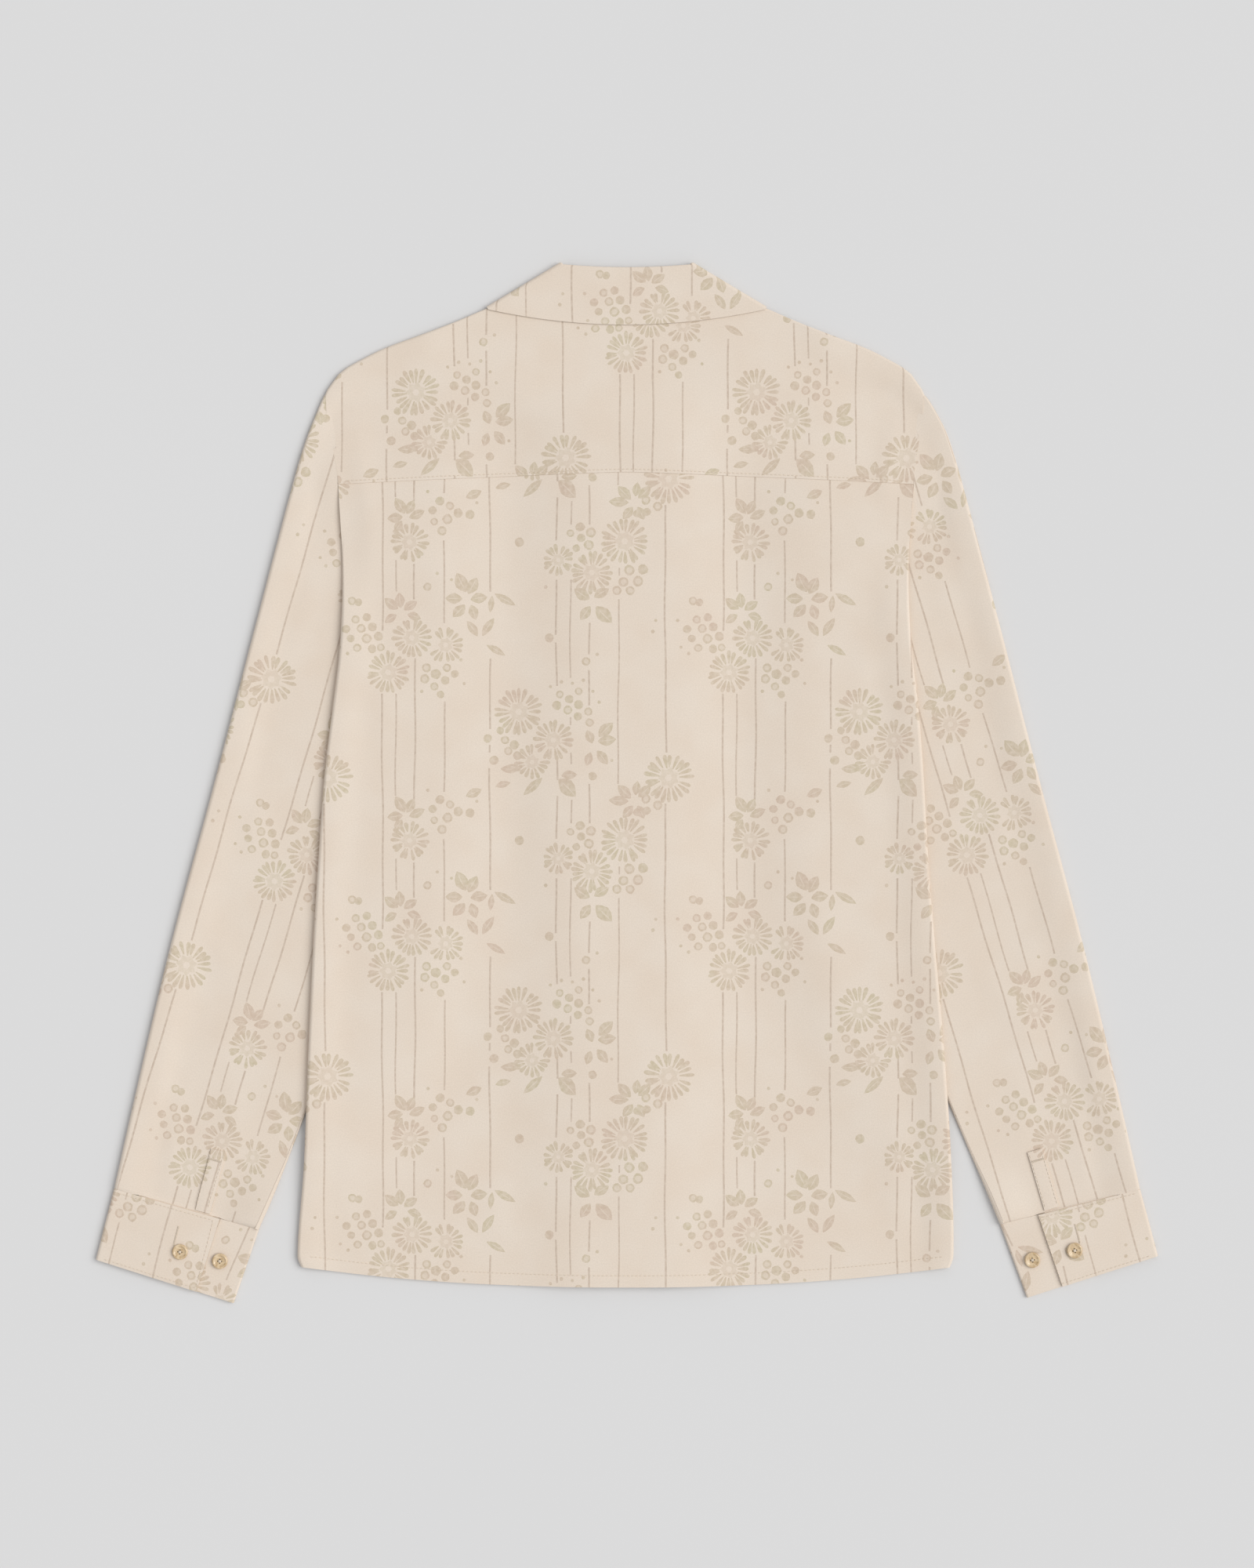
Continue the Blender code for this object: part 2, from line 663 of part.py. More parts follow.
def collar_lines(step):
    """Neck seam, roll line, free edge and turn of the collar at one station on a side."""
    if step <= COLLAR_BACK_STEPS:
        share = step / COLLAR_BACK_STEPS
        stand_x = STAND_SIDE.x * share
        stand = Vector((stand_x, mix(neck_line(stand_x) + GAP, STAND_SIDE.y, share ** 4)))
        roll_y = ROLL_BACK_Y + (ROLL_SIDE.y - ROLL_BACK_Y) * share ** 2
        roll = Vector((ROLL_SIDE.x * share, roll_y))
        fall_y = FALL_BACK_Y + (FALL_SIDE.y - FALL_BACK_Y) * share ** 2
        return stand, roll, Vector((FALL_SIDE.x * share, fall_y)), 0.0
    beyond = step - COLLAR_BACK_STEPS
    if beyond <= FOLD_STEPS:
        turned = math.pi * beyond / FOLD_STEPS
        return Vector(STAND_SIDE), Vector(ROLL_SIDE), Vector(FALL_SIDE), turned
    share = (beyond - FOLD_STEPS) / COLLAR_FRONT_STEPS
    stand = Vector(STAND_SIDE).lerp(Vector(STAND_FRONT_END), share)
    roll = bend(ROLL_SIDE, ROLL_FRONT_MID, ROLL_FRONT_END, share)
    return stand, roll, Vector(FALL_SIDE).lerp(Vector(FALL_FRONT_END), share), math.pi


def place_collar(column, row):
    offset = column - COLLAR_HALF_COLUMNS
    side = LEFT if offset < 0 else RIGHT
    stand, roll, fall, turned = collar_lines(abs(offset))
    puff = ROLL_PUFF * max(0.0, math.cos(turned))
    hairpin = (FALL_REACH + puff - STAND_REACH) / 2
    if row <= STAND_STEPS:
        spot = stand.lerp(roll, row / STAND_STEPS)
        reach = STAND_REACH
    elif row < STAND_STEPS + FOLD_STEPS:
        angle = math.pi * (row - STAND_STEPS) / FOLD_STEPS
        spot = roll + (roll - stand).normalized() * hairpin * math.sin(angle)
        reach = STAND_REACH + hairpin * (1 - math.cos(angle))
    else:
        share = (row - STAND_STEPS - FOLD_STEPS) / FALL_STEPS
        spot = roll.lerp(fall, share)
        reach = FALL_REACH + puff * (1 - share) ** 2
    spot = spot + COLLAR_SIDE_NORMAL.normalized() * reach * math.sin(turned)
    return Vector((side * spot.x, spot.y, COLLAR_MIDDLE + reach * math.cos(turned)))


# Sleeves

SLEEVE_COLUMNS = 2 * (SLEEVE_FLAT_STEPS + FOLD_STEPS)
SLEEVE_RISE_SHARES = (1.0, 0.75, 0.30)


def cuff_of(side):
    return CUFF_LEFT if side == LEFT else CUFF_RIGHT


def sleeve_ends(ring, side):
    """Outer and inner end of one section of a sleeve, in the plane."""
    if ring == len(SLEEVE_RINGS):
        cuff = cuff_of(side)
        away = Vector((0.0, GAP))
        return Vector(cuff.seam_outer) + away, Vector(cuff.seam_inner) + away
    row = SLEEVE_RINGS[ring]
    outer = Vector((side_value(SLEEVE_OUTER, row.outer_y, side), row.outer_y))
    inner = Vector((side_value(SLEEVE_INNER, row.inner_y, side), row.inner_y))
    return outer, inner


def armhole_spot(share, side):
    """Point of the sleeve's own edge along the armhole seam."""
    y = mix(ARMHOLE_TOP, ARMHOLE_BOTTOM, share)
    clear = GAP + TIP_ROOM * ramp(y, TIP_ROOM_FROM, ARMHOLE_TOP)
    return Vector((body_edge(y, side) - side_value(ARMHOLE_HOOK, y, side) + clear, y))


def armhole_bow(share, side):
    """How far the armhole's curve lies from the straight line between its ends."""
    straight = armhole_spot(0.0, side).lerp(armhole_spot(1.0, side), share)
    return armhole_spot(share, side) - straight


def fold_normals(ring, side):
    """Vectors that point out of the outer and the inner fold at one section."""
    last = len(SLEEVE_RINGS)
    before = sleeve_ends(max(ring - 1, 0), side)
    after = sleeve_ends(min(ring + 1, last), side)
    outer_run = after[0] - before[0]
    inner_run = after[1] - before[1]
    outer = Vector((-outer_run.y, outer_run.x)).normalized()
    inner = Vector((inner_run.y, -inner_run.x)).normalized()
    return (TIP_NORMAL if ring == 0 else outer), inner


def sleeve_rise(y, ring, side, inward):
    """The armhole's seam climbs with the body where the sleeve starts to dive under it."""
    if ring >= len(SLEEVE_RISE_SHARES):
        return 0.0
    lift = sleeve_lift(body_edge(y, side), y, side, SPREAD) * ramp(y, *HEAD_RISE_Y)
    if ring > 0:
        lift *= ramp(inward, 0.0, PUFF_REACH)
    return SLEEVE_RISE_SHARES[ring] * lift


def sleeve_placer(side):
    def place(column, row):
        ring = len(SLEEVE_RINGS) - row
        outer_normal, inner_normal = fold_normals(ring, side)
        outer_puff = mix(SHOULDER_PUFF, SLEEVE_PUFF, smooth(ring / 3))
        inner_puff = SLEEVE_PUFF * ramp(sleeve_ends(ring, side)[1].y, *INNER_PUFF_Y)
        outer_radius = (LAYER + outer_puff) / 2
        inner_radius = (LAYER + inner_puff) / 2
        if ring == 0:
            start, end = armhole_spot(0.0, side), armhole_spot(1.0, side)
        else:
            outer, inner = sleeve_ends(ring, side)
            start = outer - outer_normal * (outer_radius + HALF)
            end = inner - inner_normal * (inner_radius + HALF)
        span = (end - start).length

        def flat_spot(share, upper):
            spot = start.lerp(end, share) + armhole_bow(share, side) * smooth(1 - ring / 4)
            if not upper:
                return spot, HALF
            puff = outer_puff * ramp(share * span, PUFF_REACH, 0.0)
            puff += inner_puff * ramp((1 - share) * span, PUFF_REACH, 0.0)
            if ring == 0:
                puff = shoulder_puff(spot.x, spot.y)
            return spot, HALF + LAYER + puff + sleeve_rise(spot.y, ring, side, share * span)

        flat = SLEEVE_FLAT_STEPS
        if column <= flat or column == SLEEVE_COLUMNS:
            spot, height = flat_spot(SLEEVE_SHARES[column % SLEEVE_COLUMNS], True)
        elif column < flat + FOLD_STEPS:
            turned = math.pi * (column - flat) / FOLD_STEPS
            spot, height = flat_spot(1.0, False)
            spot += inner_normal * inner_radius * math.sin(turned)
            height += inner_radius * (1 + math.cos(turned))
        elif column <= 2 * flat + FOLD_STEPS:
            spot, height = flat_spot(SLEEVE_SHARES[2 * flat + FOLD_STEPS - column], False)
        else:
            turned = math.pi * (SLEEVE_COLUMNS - column) / FOLD_STEPS
            spot, height = flat_spot(0.0, False)
            spot += outer_normal * outer_radius * math.sin(turned)
            height += outer_radius * (1 + math.cos(turned))
        return Vector((side * spot.x, spot.y, height))
    return place


# Cuffs

CUFF_FLAT_STEPS = (4, 5, 4)
CUFF_COLUMNS = sum(CUFF_FLAT_STEPS) + 2 * FOLD_STEPS
CUFF_LOW = CUFF_WALL / 2
CUFF_UNDERLAP = CUFF_LOW + CUFF_STEP
CUFF_OVER = CUFF_UNDERLAP + CUFF_STEP


def cuff_placer(side):
    """A cuff is one band: underlap, round the inner fold, round the outer fold, overlap."""
    cuff = cuff_of(side)

    def place(column, row):
        down = row / CUFF_ROWS
        outer = Vector(cuff.seam_outer).lerp(Vector(cuff.end_outer), down)
        inner = Vector(cuff.seam_inner).lerp(Vector(cuff.end_inner), down)
        inward = (inner - outer).normalized()
        width = (inner - outer).length
        inner_radius = (CUFF_UNDERLAP - CUFF_LOW) / 2
        outer_radius = (CUFF_OVER - CUFF_LOW) / 2
        near = outer_radius + CUFF_LOW
        far = width - inner_radius - CUFF_LOW
        lap = width * CUFF_OVERLAP_EDGE
        first, second, third = CUFF_FLAT_STEPS
        step = column
        if step <= first:
            along, height = mix(lap - CUFF_OVERLAP, far, step / first), CUFF_UNDERLAP
        elif step < first + FOLD_STEPS:
            turned = math.pi * (step - first) / FOLD_STEPS
            along = far + inner_radius * math.sin(turned)
            height = CUFF_LOW + inner_radius * (1 + math.cos(turned))
        elif step <= first + FOLD_STEPS + second:
            share = (step - first - FOLD_STEPS) / second
            along, height = mix(far, near, share), CUFF_LOW
        elif step < first + 2 * FOLD_STEPS + second:
            turned = math.pi * (step - first - FOLD_STEPS - second) / FOLD_STEPS
            along = near - outer_radius * math.sin(turned)
            height = CUFF_LOW + outer_radius * (1 - math.cos(turned))
        else:
            share = (step - first - 2 * FOLD_STEPS - second) / third
            along, height = mix(near, lap, share), CUFF_OVER
        spot = outer + inward * along
        return Vector((side * spot.x, spot.y, height))
    return place


# Sleeve plackets

def placket_placer(side):
    foot = PLACKET_FOOT_LEFT if side == LEFT else PLACKET_FOOT_RIGHT

    def place(column, row):
        line = Vector(foot) - Vector(PLACKET_TOP)
        across = Vector((line.y, -line.x)).normalized() * PLACKET_WIDTH
        spot = Vector(PLACKET_TOP) + line * (row / 3) + across * (column / 2 - 0.5)
        height = 2 * WALL + AIR + GAP + PLACKET_WALL / 2
        return Vector((side * spot.x, spot.y, height))
    return place


# Buttons

def add_button(name, x, y, base, collection, material, face_down=False):
    """A sewing button: a turned disc with a raised rim round a shallow dish."""
    top = BUTTON_THICK
    profile = (
        (BUTTON_RADIUS - BUTTON_RIM, top - BUTTON_DISH),
        (BUTTON_RADIUS - BUTTON_RIM * 0.6, top),
        (BUTTON_RADIUS - BUTTON_RIM * 0.2, top),
        (BUTTON_RADIUS, top * 0.70),
        (BUTTON_RADIUS, top * 0.35),
        (BUTTON_RADIUS - BUTTON_RIM * 0.6, 0.0),
    )
    shape = bmesh.new()
    centre_top = shape.verts.new((0.0, 0.0, top - BUTTON_DISH))
    chain = [centre_top] + [shape.verts.new((radius, 0.0, z)) for radius, z in profile]
    chain.append(shape.verts.new((0.0, 0.0, 0.0)))
    for first, second in zip(chain, chain[1:]):
        shape.edges.new((first, second))
    mesh = bpy.data.meshes.new(name)
    shape.to_mesh(mesh)
    shape.free()
    item = bpy.data.objects.new(name, mesh)
    collection.objects.link(item)
    turn = item.modifiers.new("Turn", "SCREW")
    turn.axis = "Z"
    turn.steps = BUTTON_STEPS
    turn.render_steps = BUTTON_STEPS
    turn.use_merge_vertices = True
    turn.merge_threshold = MERGE_REACH
    item.location = (x, y, base + (BUTTON_THICK if face_down else 0.0))
    if face_down:
        item.rotation_euler = (math.pi, 0.0, 0.0)
    return finish_object(item, name, collection, material)


def build_shirt():
    for item in list(bpy.data.objects):
        bpy.data.objects.remove(item, do_unlink=True)
    collection = bpy.data.collections.new("Jacquard shirt")
    bpy.context.scene.collection.children.link(collection)
    fabric = new_material("Jacquard cloth", CLOTH_COLOUR, 0.85)
    horn = new_material("Button horn", BUTTON_COLOUR, 0.35)

    cloth("back", 2 * BACK_HALF_COLUMNS, len(BACK_LEVELS) - 1, place_back, collection, fabric)
    cloth("yoke", 2 * YOKE_HALF_COLUMNS, YOKE_ROWS, place_yoke, collection, fabric,
          drop=yoke_drop)
    cloth("collar", 2 * COLLAR_HALF_COLUMNS, COLLAR_ROWS, place_collar, collection, fabric,
          wall=COLLAR_WALL)
    for side, word in ((LEFT, "left"), (RIGHT, "right")):
        cloth("front_" + word, FRONT_COLUMNS, len(FRONT_LEVELS) - 1, front_placer(side),
              collection, fabric)
        cloth("lapel_" + word, LAPEL_COLUMNS, LAPEL_ROWS, lapel_placer(side), collection, fabric)
        cloth("sleeve_" + word, SLEEVE_COLUMNS, len(SLEEVE_RINGS), sleeve_placer(side),
              collection, fabric, closed=True)
        cloth("cuff_" + word, CUFF_COLUMNS, CUFF_ROWS, cuff_placer(side), collection, fabric,
              wall=CUFF_WALL)
        cloth("sleeve_placket_" + word, 2, 3, placket_placer(side), collection, fabric,
              wall=PLACKET_WALL)
        buttons = CUFF_BUTTONS_LEFT if side == LEFT else CUFF_BUTTONS_RIGHT
        bases = (CUFF_OVER + CUFF_WALL / 2 + GAP, CUFF_UNDERLAP + CUFF_WALL / 2 + GAP)
        for number, (spot, base) in enumerate(zip(buttons, bases), start=1):
            add_button("cuff_button_%s_%d" % (word, number), side * spot.x, spot.y, base,
                       collection, horn)
    for number in range(FRONT_BUTTONS):
        y = FRONT_BUTTON_TOP - FRONT_BUTTON_PITCH * number
        add_button("front_button_%d" % (number + 1), 0.0, y, 0.0, collection, horn,
                   face_down=True)


build_shirt()
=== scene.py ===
"""Looks of a long sleeved jacquard shirt that lies flat with its back up.

Lengths are in metres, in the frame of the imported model: +X to the right, +Y from the hem to
the collar, +Z up from the floor. Each cloth piece is a sheet that follows its solid: a grid of
points gives the sheet its form, and the woven motifs are cut into its flat pattern, so that
each face is ground, motif or stripe.
"""

import math
from collections import namedtuple
import bmesh
import bpy
from mathutils import Matrix, Vector
from mathutils.bvhtree import BVHTree
from mathutils.geometry import barycentric_transform, delaunay_2d_cdt


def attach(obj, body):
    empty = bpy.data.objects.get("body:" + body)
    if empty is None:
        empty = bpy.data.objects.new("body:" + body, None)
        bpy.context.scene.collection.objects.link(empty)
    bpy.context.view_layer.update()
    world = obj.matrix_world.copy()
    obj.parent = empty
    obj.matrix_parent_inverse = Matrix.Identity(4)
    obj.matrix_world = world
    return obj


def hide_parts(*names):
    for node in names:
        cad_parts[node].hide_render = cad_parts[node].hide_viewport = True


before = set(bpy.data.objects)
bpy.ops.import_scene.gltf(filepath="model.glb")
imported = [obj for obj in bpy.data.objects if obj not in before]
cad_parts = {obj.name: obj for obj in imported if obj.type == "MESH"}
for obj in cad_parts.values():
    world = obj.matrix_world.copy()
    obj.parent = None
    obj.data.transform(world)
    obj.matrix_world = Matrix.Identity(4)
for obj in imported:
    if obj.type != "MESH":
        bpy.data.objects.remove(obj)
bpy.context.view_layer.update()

# Cloth and the room between layers, as in the solids
WALL = 0.0011
HALF = WALL / 2
GAP = 0.0003
AIR = 0.0005
LAYER = WALL + AIR
STEP = WALL + GAP
FRONT_STEP = STEP + 0.0002
SEAM_CLEAR = 0.00005

# Folds that are not pressed flat stand a little open
SIDE_PUFF = 0.0025
SHOULDER_PUFF = 0.0015
SLEEVE_PUFF = 0.0030
PUFF_REACH = 0.030

# An upper layer starts to climb so much sooner than the layer below it
SPREAD = 0.025

LEFT = -1
RIGHT = 1
SIDES = ((LEFT, "left"), (RIGHT, "right"))

Row = namedtuple("Row", "y left right")
Point = namedtuple("Point", "x y")

# Visible edge of the body, from the hem's corner up to the shoulder's tip
BODY_EDGE = (
    Row(-0.3570, 0.2375, 0.2360),
    Row(-0.3460, 0.2412, 0.2396),
    Row(-0.2770, 0.2362, 0.2378),
    Row(-0.1950, 0.2330, 0.2325),
    Row(-0.1140, 0.2292, 0.2255),
    Row(-0.0640, 0.2262, 0.2215),
    Row(0.0060, 0.2212, 0.2175),
    Row(0.0570, 0.2150, 0.2136),
    Row(0.0970, 0.2102, 0.2090),
    Row(0.1370, 0.2082, 0.2067),
    Row(0.1730, 0.2086, 0.2071),
    Row(0.2180, 0.2112, 0.2101),
    Row(0.2520, 0.2132, 0.2115),
    Row(0.2740, 0.2175, 0.2140),
    Row(0.2860, 0.2215, 0.2190),
)

# Under the body the armhole's seam turns in, so far from that edge
ARMHOLE_HOOK = (
    Row(0.0720, 0.030, 0.030),
    Row(0.0900, 0.018, 0.018),
    Row(0.1050, 0.009, 0.009),
    Row(0.1280, 0.003, 0.003),
    Row(0.1660, 0.002, 0.002),
    Row(0.1900, 0.000, 0.000),
)

# Outer fold of each sleeve, from the shoulder's tip down to the cuff
SLEEVE_OUTER = (
    Row(-0.3500, 0.3900, 0.3900),
    Row(-0.2770, 0.3706, 0.3712),
    Row(-0.2310, 0.3608, 0.3614),
    Row(-0.1160, 0.3335, 0.3340),
    Row(-0.0010, 0.3025, 0.3035),
    Row(0.1140, 0.2725, 0.2740),
    Row(0.2290, 0.2420, 0.2435),
    Row(0.2600, 0.2320, 0.2335),
    Row(0.2810, 0.2232, 0.2240),
    Row(0.2880, 0.2205, 0.2200),
)

# Inner fold of each sleeve, hidden under the body above the crotch at y = -0.236
SLEEVE_INNER = (
    Row(-0.3800, 0.2840, 0.2930),
    Row(-0.3460, 0.2740, 0.2786),
    Row(-0.3230, 0.2670, 0.2712),
    Row(-0.3000, 0.2580, 0.2625),
    Row(-0.2770, 0.2475, 0.2544),
    Row(-0.2360, 0.2330, 0.2370),
    Row(-0.1350, 0.1940, 0.1955),
    Row(-0.0900, 0.1840, 0.1840),
    Row(-0.0500, 0.1790, 0.1790),
    Row(-0.0100, 0.1770, 0.1770),
    Row(0.0300, 0.1775, 0.1775),
    Row(0.0720, 0.1800, 0.1800),
)

# Sections of a sleeve: how far down its outer fold and its inner fold each one lies
SleeveRing = namedtuple("SleeveRing", "outer_y inner_y")
ARMHOLE_TOP = 0.2825
ARMHOLE_BOTTOM = 0.0720
SLEEVE_RINGS = (
    SleeveRing(ARMHOLE_TOP, ARMHOLE_BOTTOM),
    SleeveRing(0.2550, 0.0640),
    SleeveRing(0.2240, 0.0530),
    SleeveRing(0.1820, 0.0380),
    SleeveRing(0.1360, 0.0180),
    SleeveRing(0.0880, -0.0080),
    SleeveRing(0.0380, -0.0420),
    SleeveRing(-0.0120, -0.0820),
    SleeveRing(-0.0640, -0.1250),
    SleeveRing(-0.1180, -0.1700),
    SleeveRing(-0.1740, -0.2200),
    SleeveRing(-0.2340, -0.2700),
    SleeveRing(-0.2970, -0.3230),
)
LAST_RING = len(SLEEVE_RINGS) - 1

# Corners of each cuff, out from the middle and up the page
Cuff = namedtuple("Cuff", "seam_outer seam_inner end_outer end_inner")
CUFF_LEFT = Cuff(Point(0.3757, -0.2970), Point(0.2695, -0.3272),
                 Point(0.3890, -0.3488), Point(0.2880, -0.3810))
CUFF_RIGHT = Cuff(Point(0.3765, -0.2975), Point(0.2738, -0.3232),
                  Point(0.3895, -0.3462), Point(0.2935, -0.3770))
CUFF_WALL = 0.0014
CUFF_STEP = CUFF_WALL + GAP
CUFF_LOW = CUFF_WALL / 2
CUFF_UNDERLAP = CUFF_LOW + CUFF_STEP
CUFF_OVER = CUFF_UNDERLAP + CUFF_STEP
CUFF_OVERLAP = 0.026
CUFF_OVERLAP_EDGE = 0.73
CUFF_LENGTH = 0.0535
CUFF_LAP_STITCH = 0.0765
CUFF_STITCH_START = 0.0040
CUFF_STITCH_IN = 0.0022
CUFF_HOLE = 0.0530
CUFF_HOLE_TOP = 0.0130
CUFF_HOLE_FOOT = 0.0270

# Sleeve placket, on the back of each sleeve above the cuff's opening
PLACKET_TOP = Point(0.2990, -0.2690)
PLACKET_FOOT_LEFT = Point(0.3105, -0.3140)
PLACKET_FOOT_RIGHT = Point(0.3115, -0.3115)
PLACKET_WIDTH = 0.011
PLACKET_WALL = 0.0010
PLACKET_STITCH_IN = 0.001
PLACKET_STITCH_TOP = 0.002
PLACKET_STITCH_FOOT = 0.044
PLACKET_BAR = 0.0075

# Buttons
BUTTON_RADIUS = 0.0057
BUTTON_THICK = 0.0022
CUFF_BUTTONS_LEFT = (Point(0.3270, -0.3430), Point(0.2980, -0.3500))
CUFF_BUTTONS_RIGHT = (Point(0.3280, -0.3420), Point(0.2972, -0.3492))
FRONT_BUTTONS = 6
FRONT_BUTTON_TOP = 0.2050
FRONT_BUTTON_PITCH = 0.0850

# Hem, and the seam between the back and the yoke
HEM_Y = -0.3690
HEM_RISE = 0.0150
HEM_REACH = 0.2400
HEM_DEPTH = 0.0085
YOKE_SEAM_Y = 0.2275
YOKE_SEAM_DROP = 0.0085
YOKE_SEAM_REACH = 0.2070

# Shoulder, as seen from above: the silhouette from the neck to the tip
SHOULDER = (
    Point(0.0740, 0.3590),
    Point(0.1050, 0.3468),
    Point(0.1250, 0.3382),
    Point(0.1490, 0.3290),
    Point(0.1760, 0.3190),
    Point(0.1905, 0.3120),
    Point(0.2080, 0.3020),
    Point(0.2160, 0.2945),
    Point(0.2205, 0.2860),
)
NECK_HALF = 0.0740
NECK_DIP = 0.0100
FORWARD_SEAM_INNER = Point(0.0550, 0.3310)
FORWARD_SEAM_OUTER = Point(0.2205, 0.2620)
TIP_NORMAL = Vector((0.32, 0.95))
TIP_ROOM = 0.0006

# Front opening: half the placket's width, the break of the lapel and the roll line's top
PLACKET_HALF = 0.0150
BREAK_Y = 0.2250
ROLL_TOP = Point(0.0495, 0.3290)
NECK_FRONT_TOP = Point(0.0735, 0.3577)
NECK_FRONT_FOOT = Point(0.0570, 0.3336)
LAPEL_FOOT_Y = 0.2560
LAPEL_CORNER = Point(0.0840, 0.3020)
LAPEL_FOOT_WIDTH = 0.0050

# Collar lines on one side: neck seam, roll line and free edge, at the folds' centres
ROLL_BACK_Y = 0.3763
ROLL_SIDE = Point(0.0476, 0.3788)
ROLL_FRONT_MID = Point(0.0570, 0.3520)
ROLL_FRONT_END = Point(0.0500, 0.3305)
STAND_SIDE = Point(0.0732, 0.3579)
STAND_FRONT_END = Point(0.0567, 0.3338)
FALL_BACK_Y = 0.3357
FALL_SIDE = Point(0.1013, 0.3468)
FALL_FRONT_END = Point(0.1000, 0.2900)
COLLAR_SIDE_NORMAL = Vector((0.54, 0.84)).normalized()
COLLAR_WALL = 0.0010
ROLL_PUFF = 0.0008
STAND_REACH = LAYER / 2
COLLAR_MIDDLE = STEP + HALF + LAYER / 2
FALL_REACH = COLLAR_MIDDLE - COLLAR_WALL / 2

# Where the layers rise over what lies between them: each pair runs from none to full
WRAP_Y = (0.190, 0.166)
SLEEVE_LIFT_WIDE = 0.080
SLEEVE_LIFT_NEAR = 0.038
SLEEVE_LIFT_TOP = 0.240
SLEEVE_LIFT_FULL = 0.205
SLEEVE_LIFT_FOOT_Y = (-0.335, -0.262)
COLLAR_LIFT_START = 0.212
COLLAR_LIFT_FULL = 0.250
COLLAR_LIFT_WIDE = 0.165
COLLAR_LIFT_NEAR = 0.130
BUTTON_RISE_X = (0.046, 0.024)
BUTTON_RISE_Y = (0.256, 0.222)
OVERLAP_RISE_X = (0.052, 0.030)
OVERLAP_RISE_Y = (0.290, 0.262)
BACK_RISE_X = (0.095, 0.024)
BACK_RISE_Y = (0.300, 0.262)
SHOULDER_PUFF_X = (0.120, 0.150)
SHOULDER_PUFF_NEAR = 0.003
SIDE_PUFF_TOP_Y = (0.175, 0.110)
SIDE_PUFF_FOOT_Y = (-0.375, -0.345)
SIDE_PUFF_NEAR = 0.004
HEAD_RISE_Y = (0.195, 0.225)
INNER_PUFF_Y = (-0.265, -0.310)

# Where rows start to follow a curved seam or edge, and small clearances there
HEM_CURVE_TOP = -0.230
SEAM_CURVE_FOOT = 0.110
YOKE_EDGE_FROM = 0.090
NECK_BLEND = 0.040
TIP_ROOM_FROM = 0.255
LAPEL_HEAD_RISE = 0.0002
LAPEL_FOOT_RISE = 0.0004
SLOPE_REACH = 0.002


# Shapes that the solids and the sheets share

def smooth(amount):
    """Rise from 0 to 1 with flat ends while amount goes from 0 to 1."""
    amount = min(1.0, max(0.0, amount))
    return amount * amount * (3.0 - 2.0 * amount)


def ramp(value, start, full):
    """Rise from 0 at start to 1 at full, whichever of the two is larger."""
    return smooth((value - start) / (full - start))


def mix(first, second, share):
    return first + (second - first) * share


def share_of(first, second, at):
    return (at - first) / (second - first)


def through(keys, values, at):
    """Read a smooth curve through a short table; outside the table its end values hold."""
    if at <= keys[0]:
        return values[0]
    if at >= keys[-1]:
        return values[-1]
    last = len(keys) - 1
    index = next(i for i in range(last) if at <= keys[i + 1])
    slopes = []
    for i in (index, index + 1):
        before, after = max(i - 1, 0), min(i + 1, last)
        slopes.append((values[after] - values[before]) / (keys[after] - keys[before]))
    width = keys[index + 1] - keys[index]
    t = (at - keys[index]) / width
    start, end = values[index], values[index + 1]
    return ((2 * t ** 3 - 3 * t ** 2 + 1) * start + (t ** 3 - 2 * t ** 2 + t) * width * slopes[0]
            + (3 * t ** 2 - 2 * t ** 3) * end + (t ** 3 - t ** 2) * width * slopes[1])


def side_value(table, y, side):
    """Distance out from the middle that a table of rows gives at a height y on one side."""
    keys = [row.y for row in table]
    values = [row.left if side == LEFT else row.right for row in table]
    return through(keys, values, y)


def body_edge(y, side):
    return side_value(BODY_EDGE, y, side)


def hem_line(x):
    return HEM_Y + HEM_RISE * (min(abs(x), HEM_REACH) / HEM_REACH) ** 2.4


def yoke_seam_line(x):
    return YOKE_SEAM_Y - YOKE_SEAM_DROP * (abs(x) / YOKE_SEAM_REACH) ** 1.2


def shoulder_line(x):
    return through([p.x for p in SHOULDER], [p.y for p in SHOULDER], abs(x))


def shoulder_normal(x):
    """Unit vector that points out of the shoulder, in the plane, for a positive x."""
    low = max(x - SLOPE_REACH, SHOULDER[0].x)
    high = min(x + SLOPE_REACH, SHOULDER[-1].x)
    slope = (shoulder_line(high) - shoulder_line(low)) / (high - low)
    return Vector((-slope, 1.0)).normalized()


def neck_line(x):
    """Back neck seam: it dips between the two shoulder points of the neck."""
    corner = SHOULDER[0].y - (HALF + LAYER / 2)
    return corner - NECK_DIP * (1.0 - (x / NECK_HALF) ** 2)


def wrap(y):
    """1 where the back turns round the body's edge, 0 where it ends at the armhole."""
    return ramp(y, *WRAP_Y)


def sleeve_lift(x, y, side, spread):
    """How far a sleeve that lies under the body lifts a layer of it."""
    inner = side_value(SLEEVE_INNER, y, side)
    full_lift = 2 * WALL + AIR + GAP
    across = ramp(abs(x), inner - SLEEVE_LIFT_WIDE - spread, inner - SLEEVE_LIFT_NEAR)
    along = ramp(y, SLEEVE_LIFT_TOP + spread, SLEEVE_LIFT_FULL) * ramp(y, *SLEEVE_LIFT_FOOT_Y)
    return full_lift * across * along


def collar_lift(x, y, spread):
    """How far the collar's and lapels' turned part lifts a layer that lies over it."""
    along = ramp(y, COLLAR_LIFT_START - 2 * spread, COLLAR_LIFT_FULL - spread)
    return STEP * along * ramp(abs(x), COLLAR_LIFT_WIDE + spread, COLLAR_LIFT_NEAR)


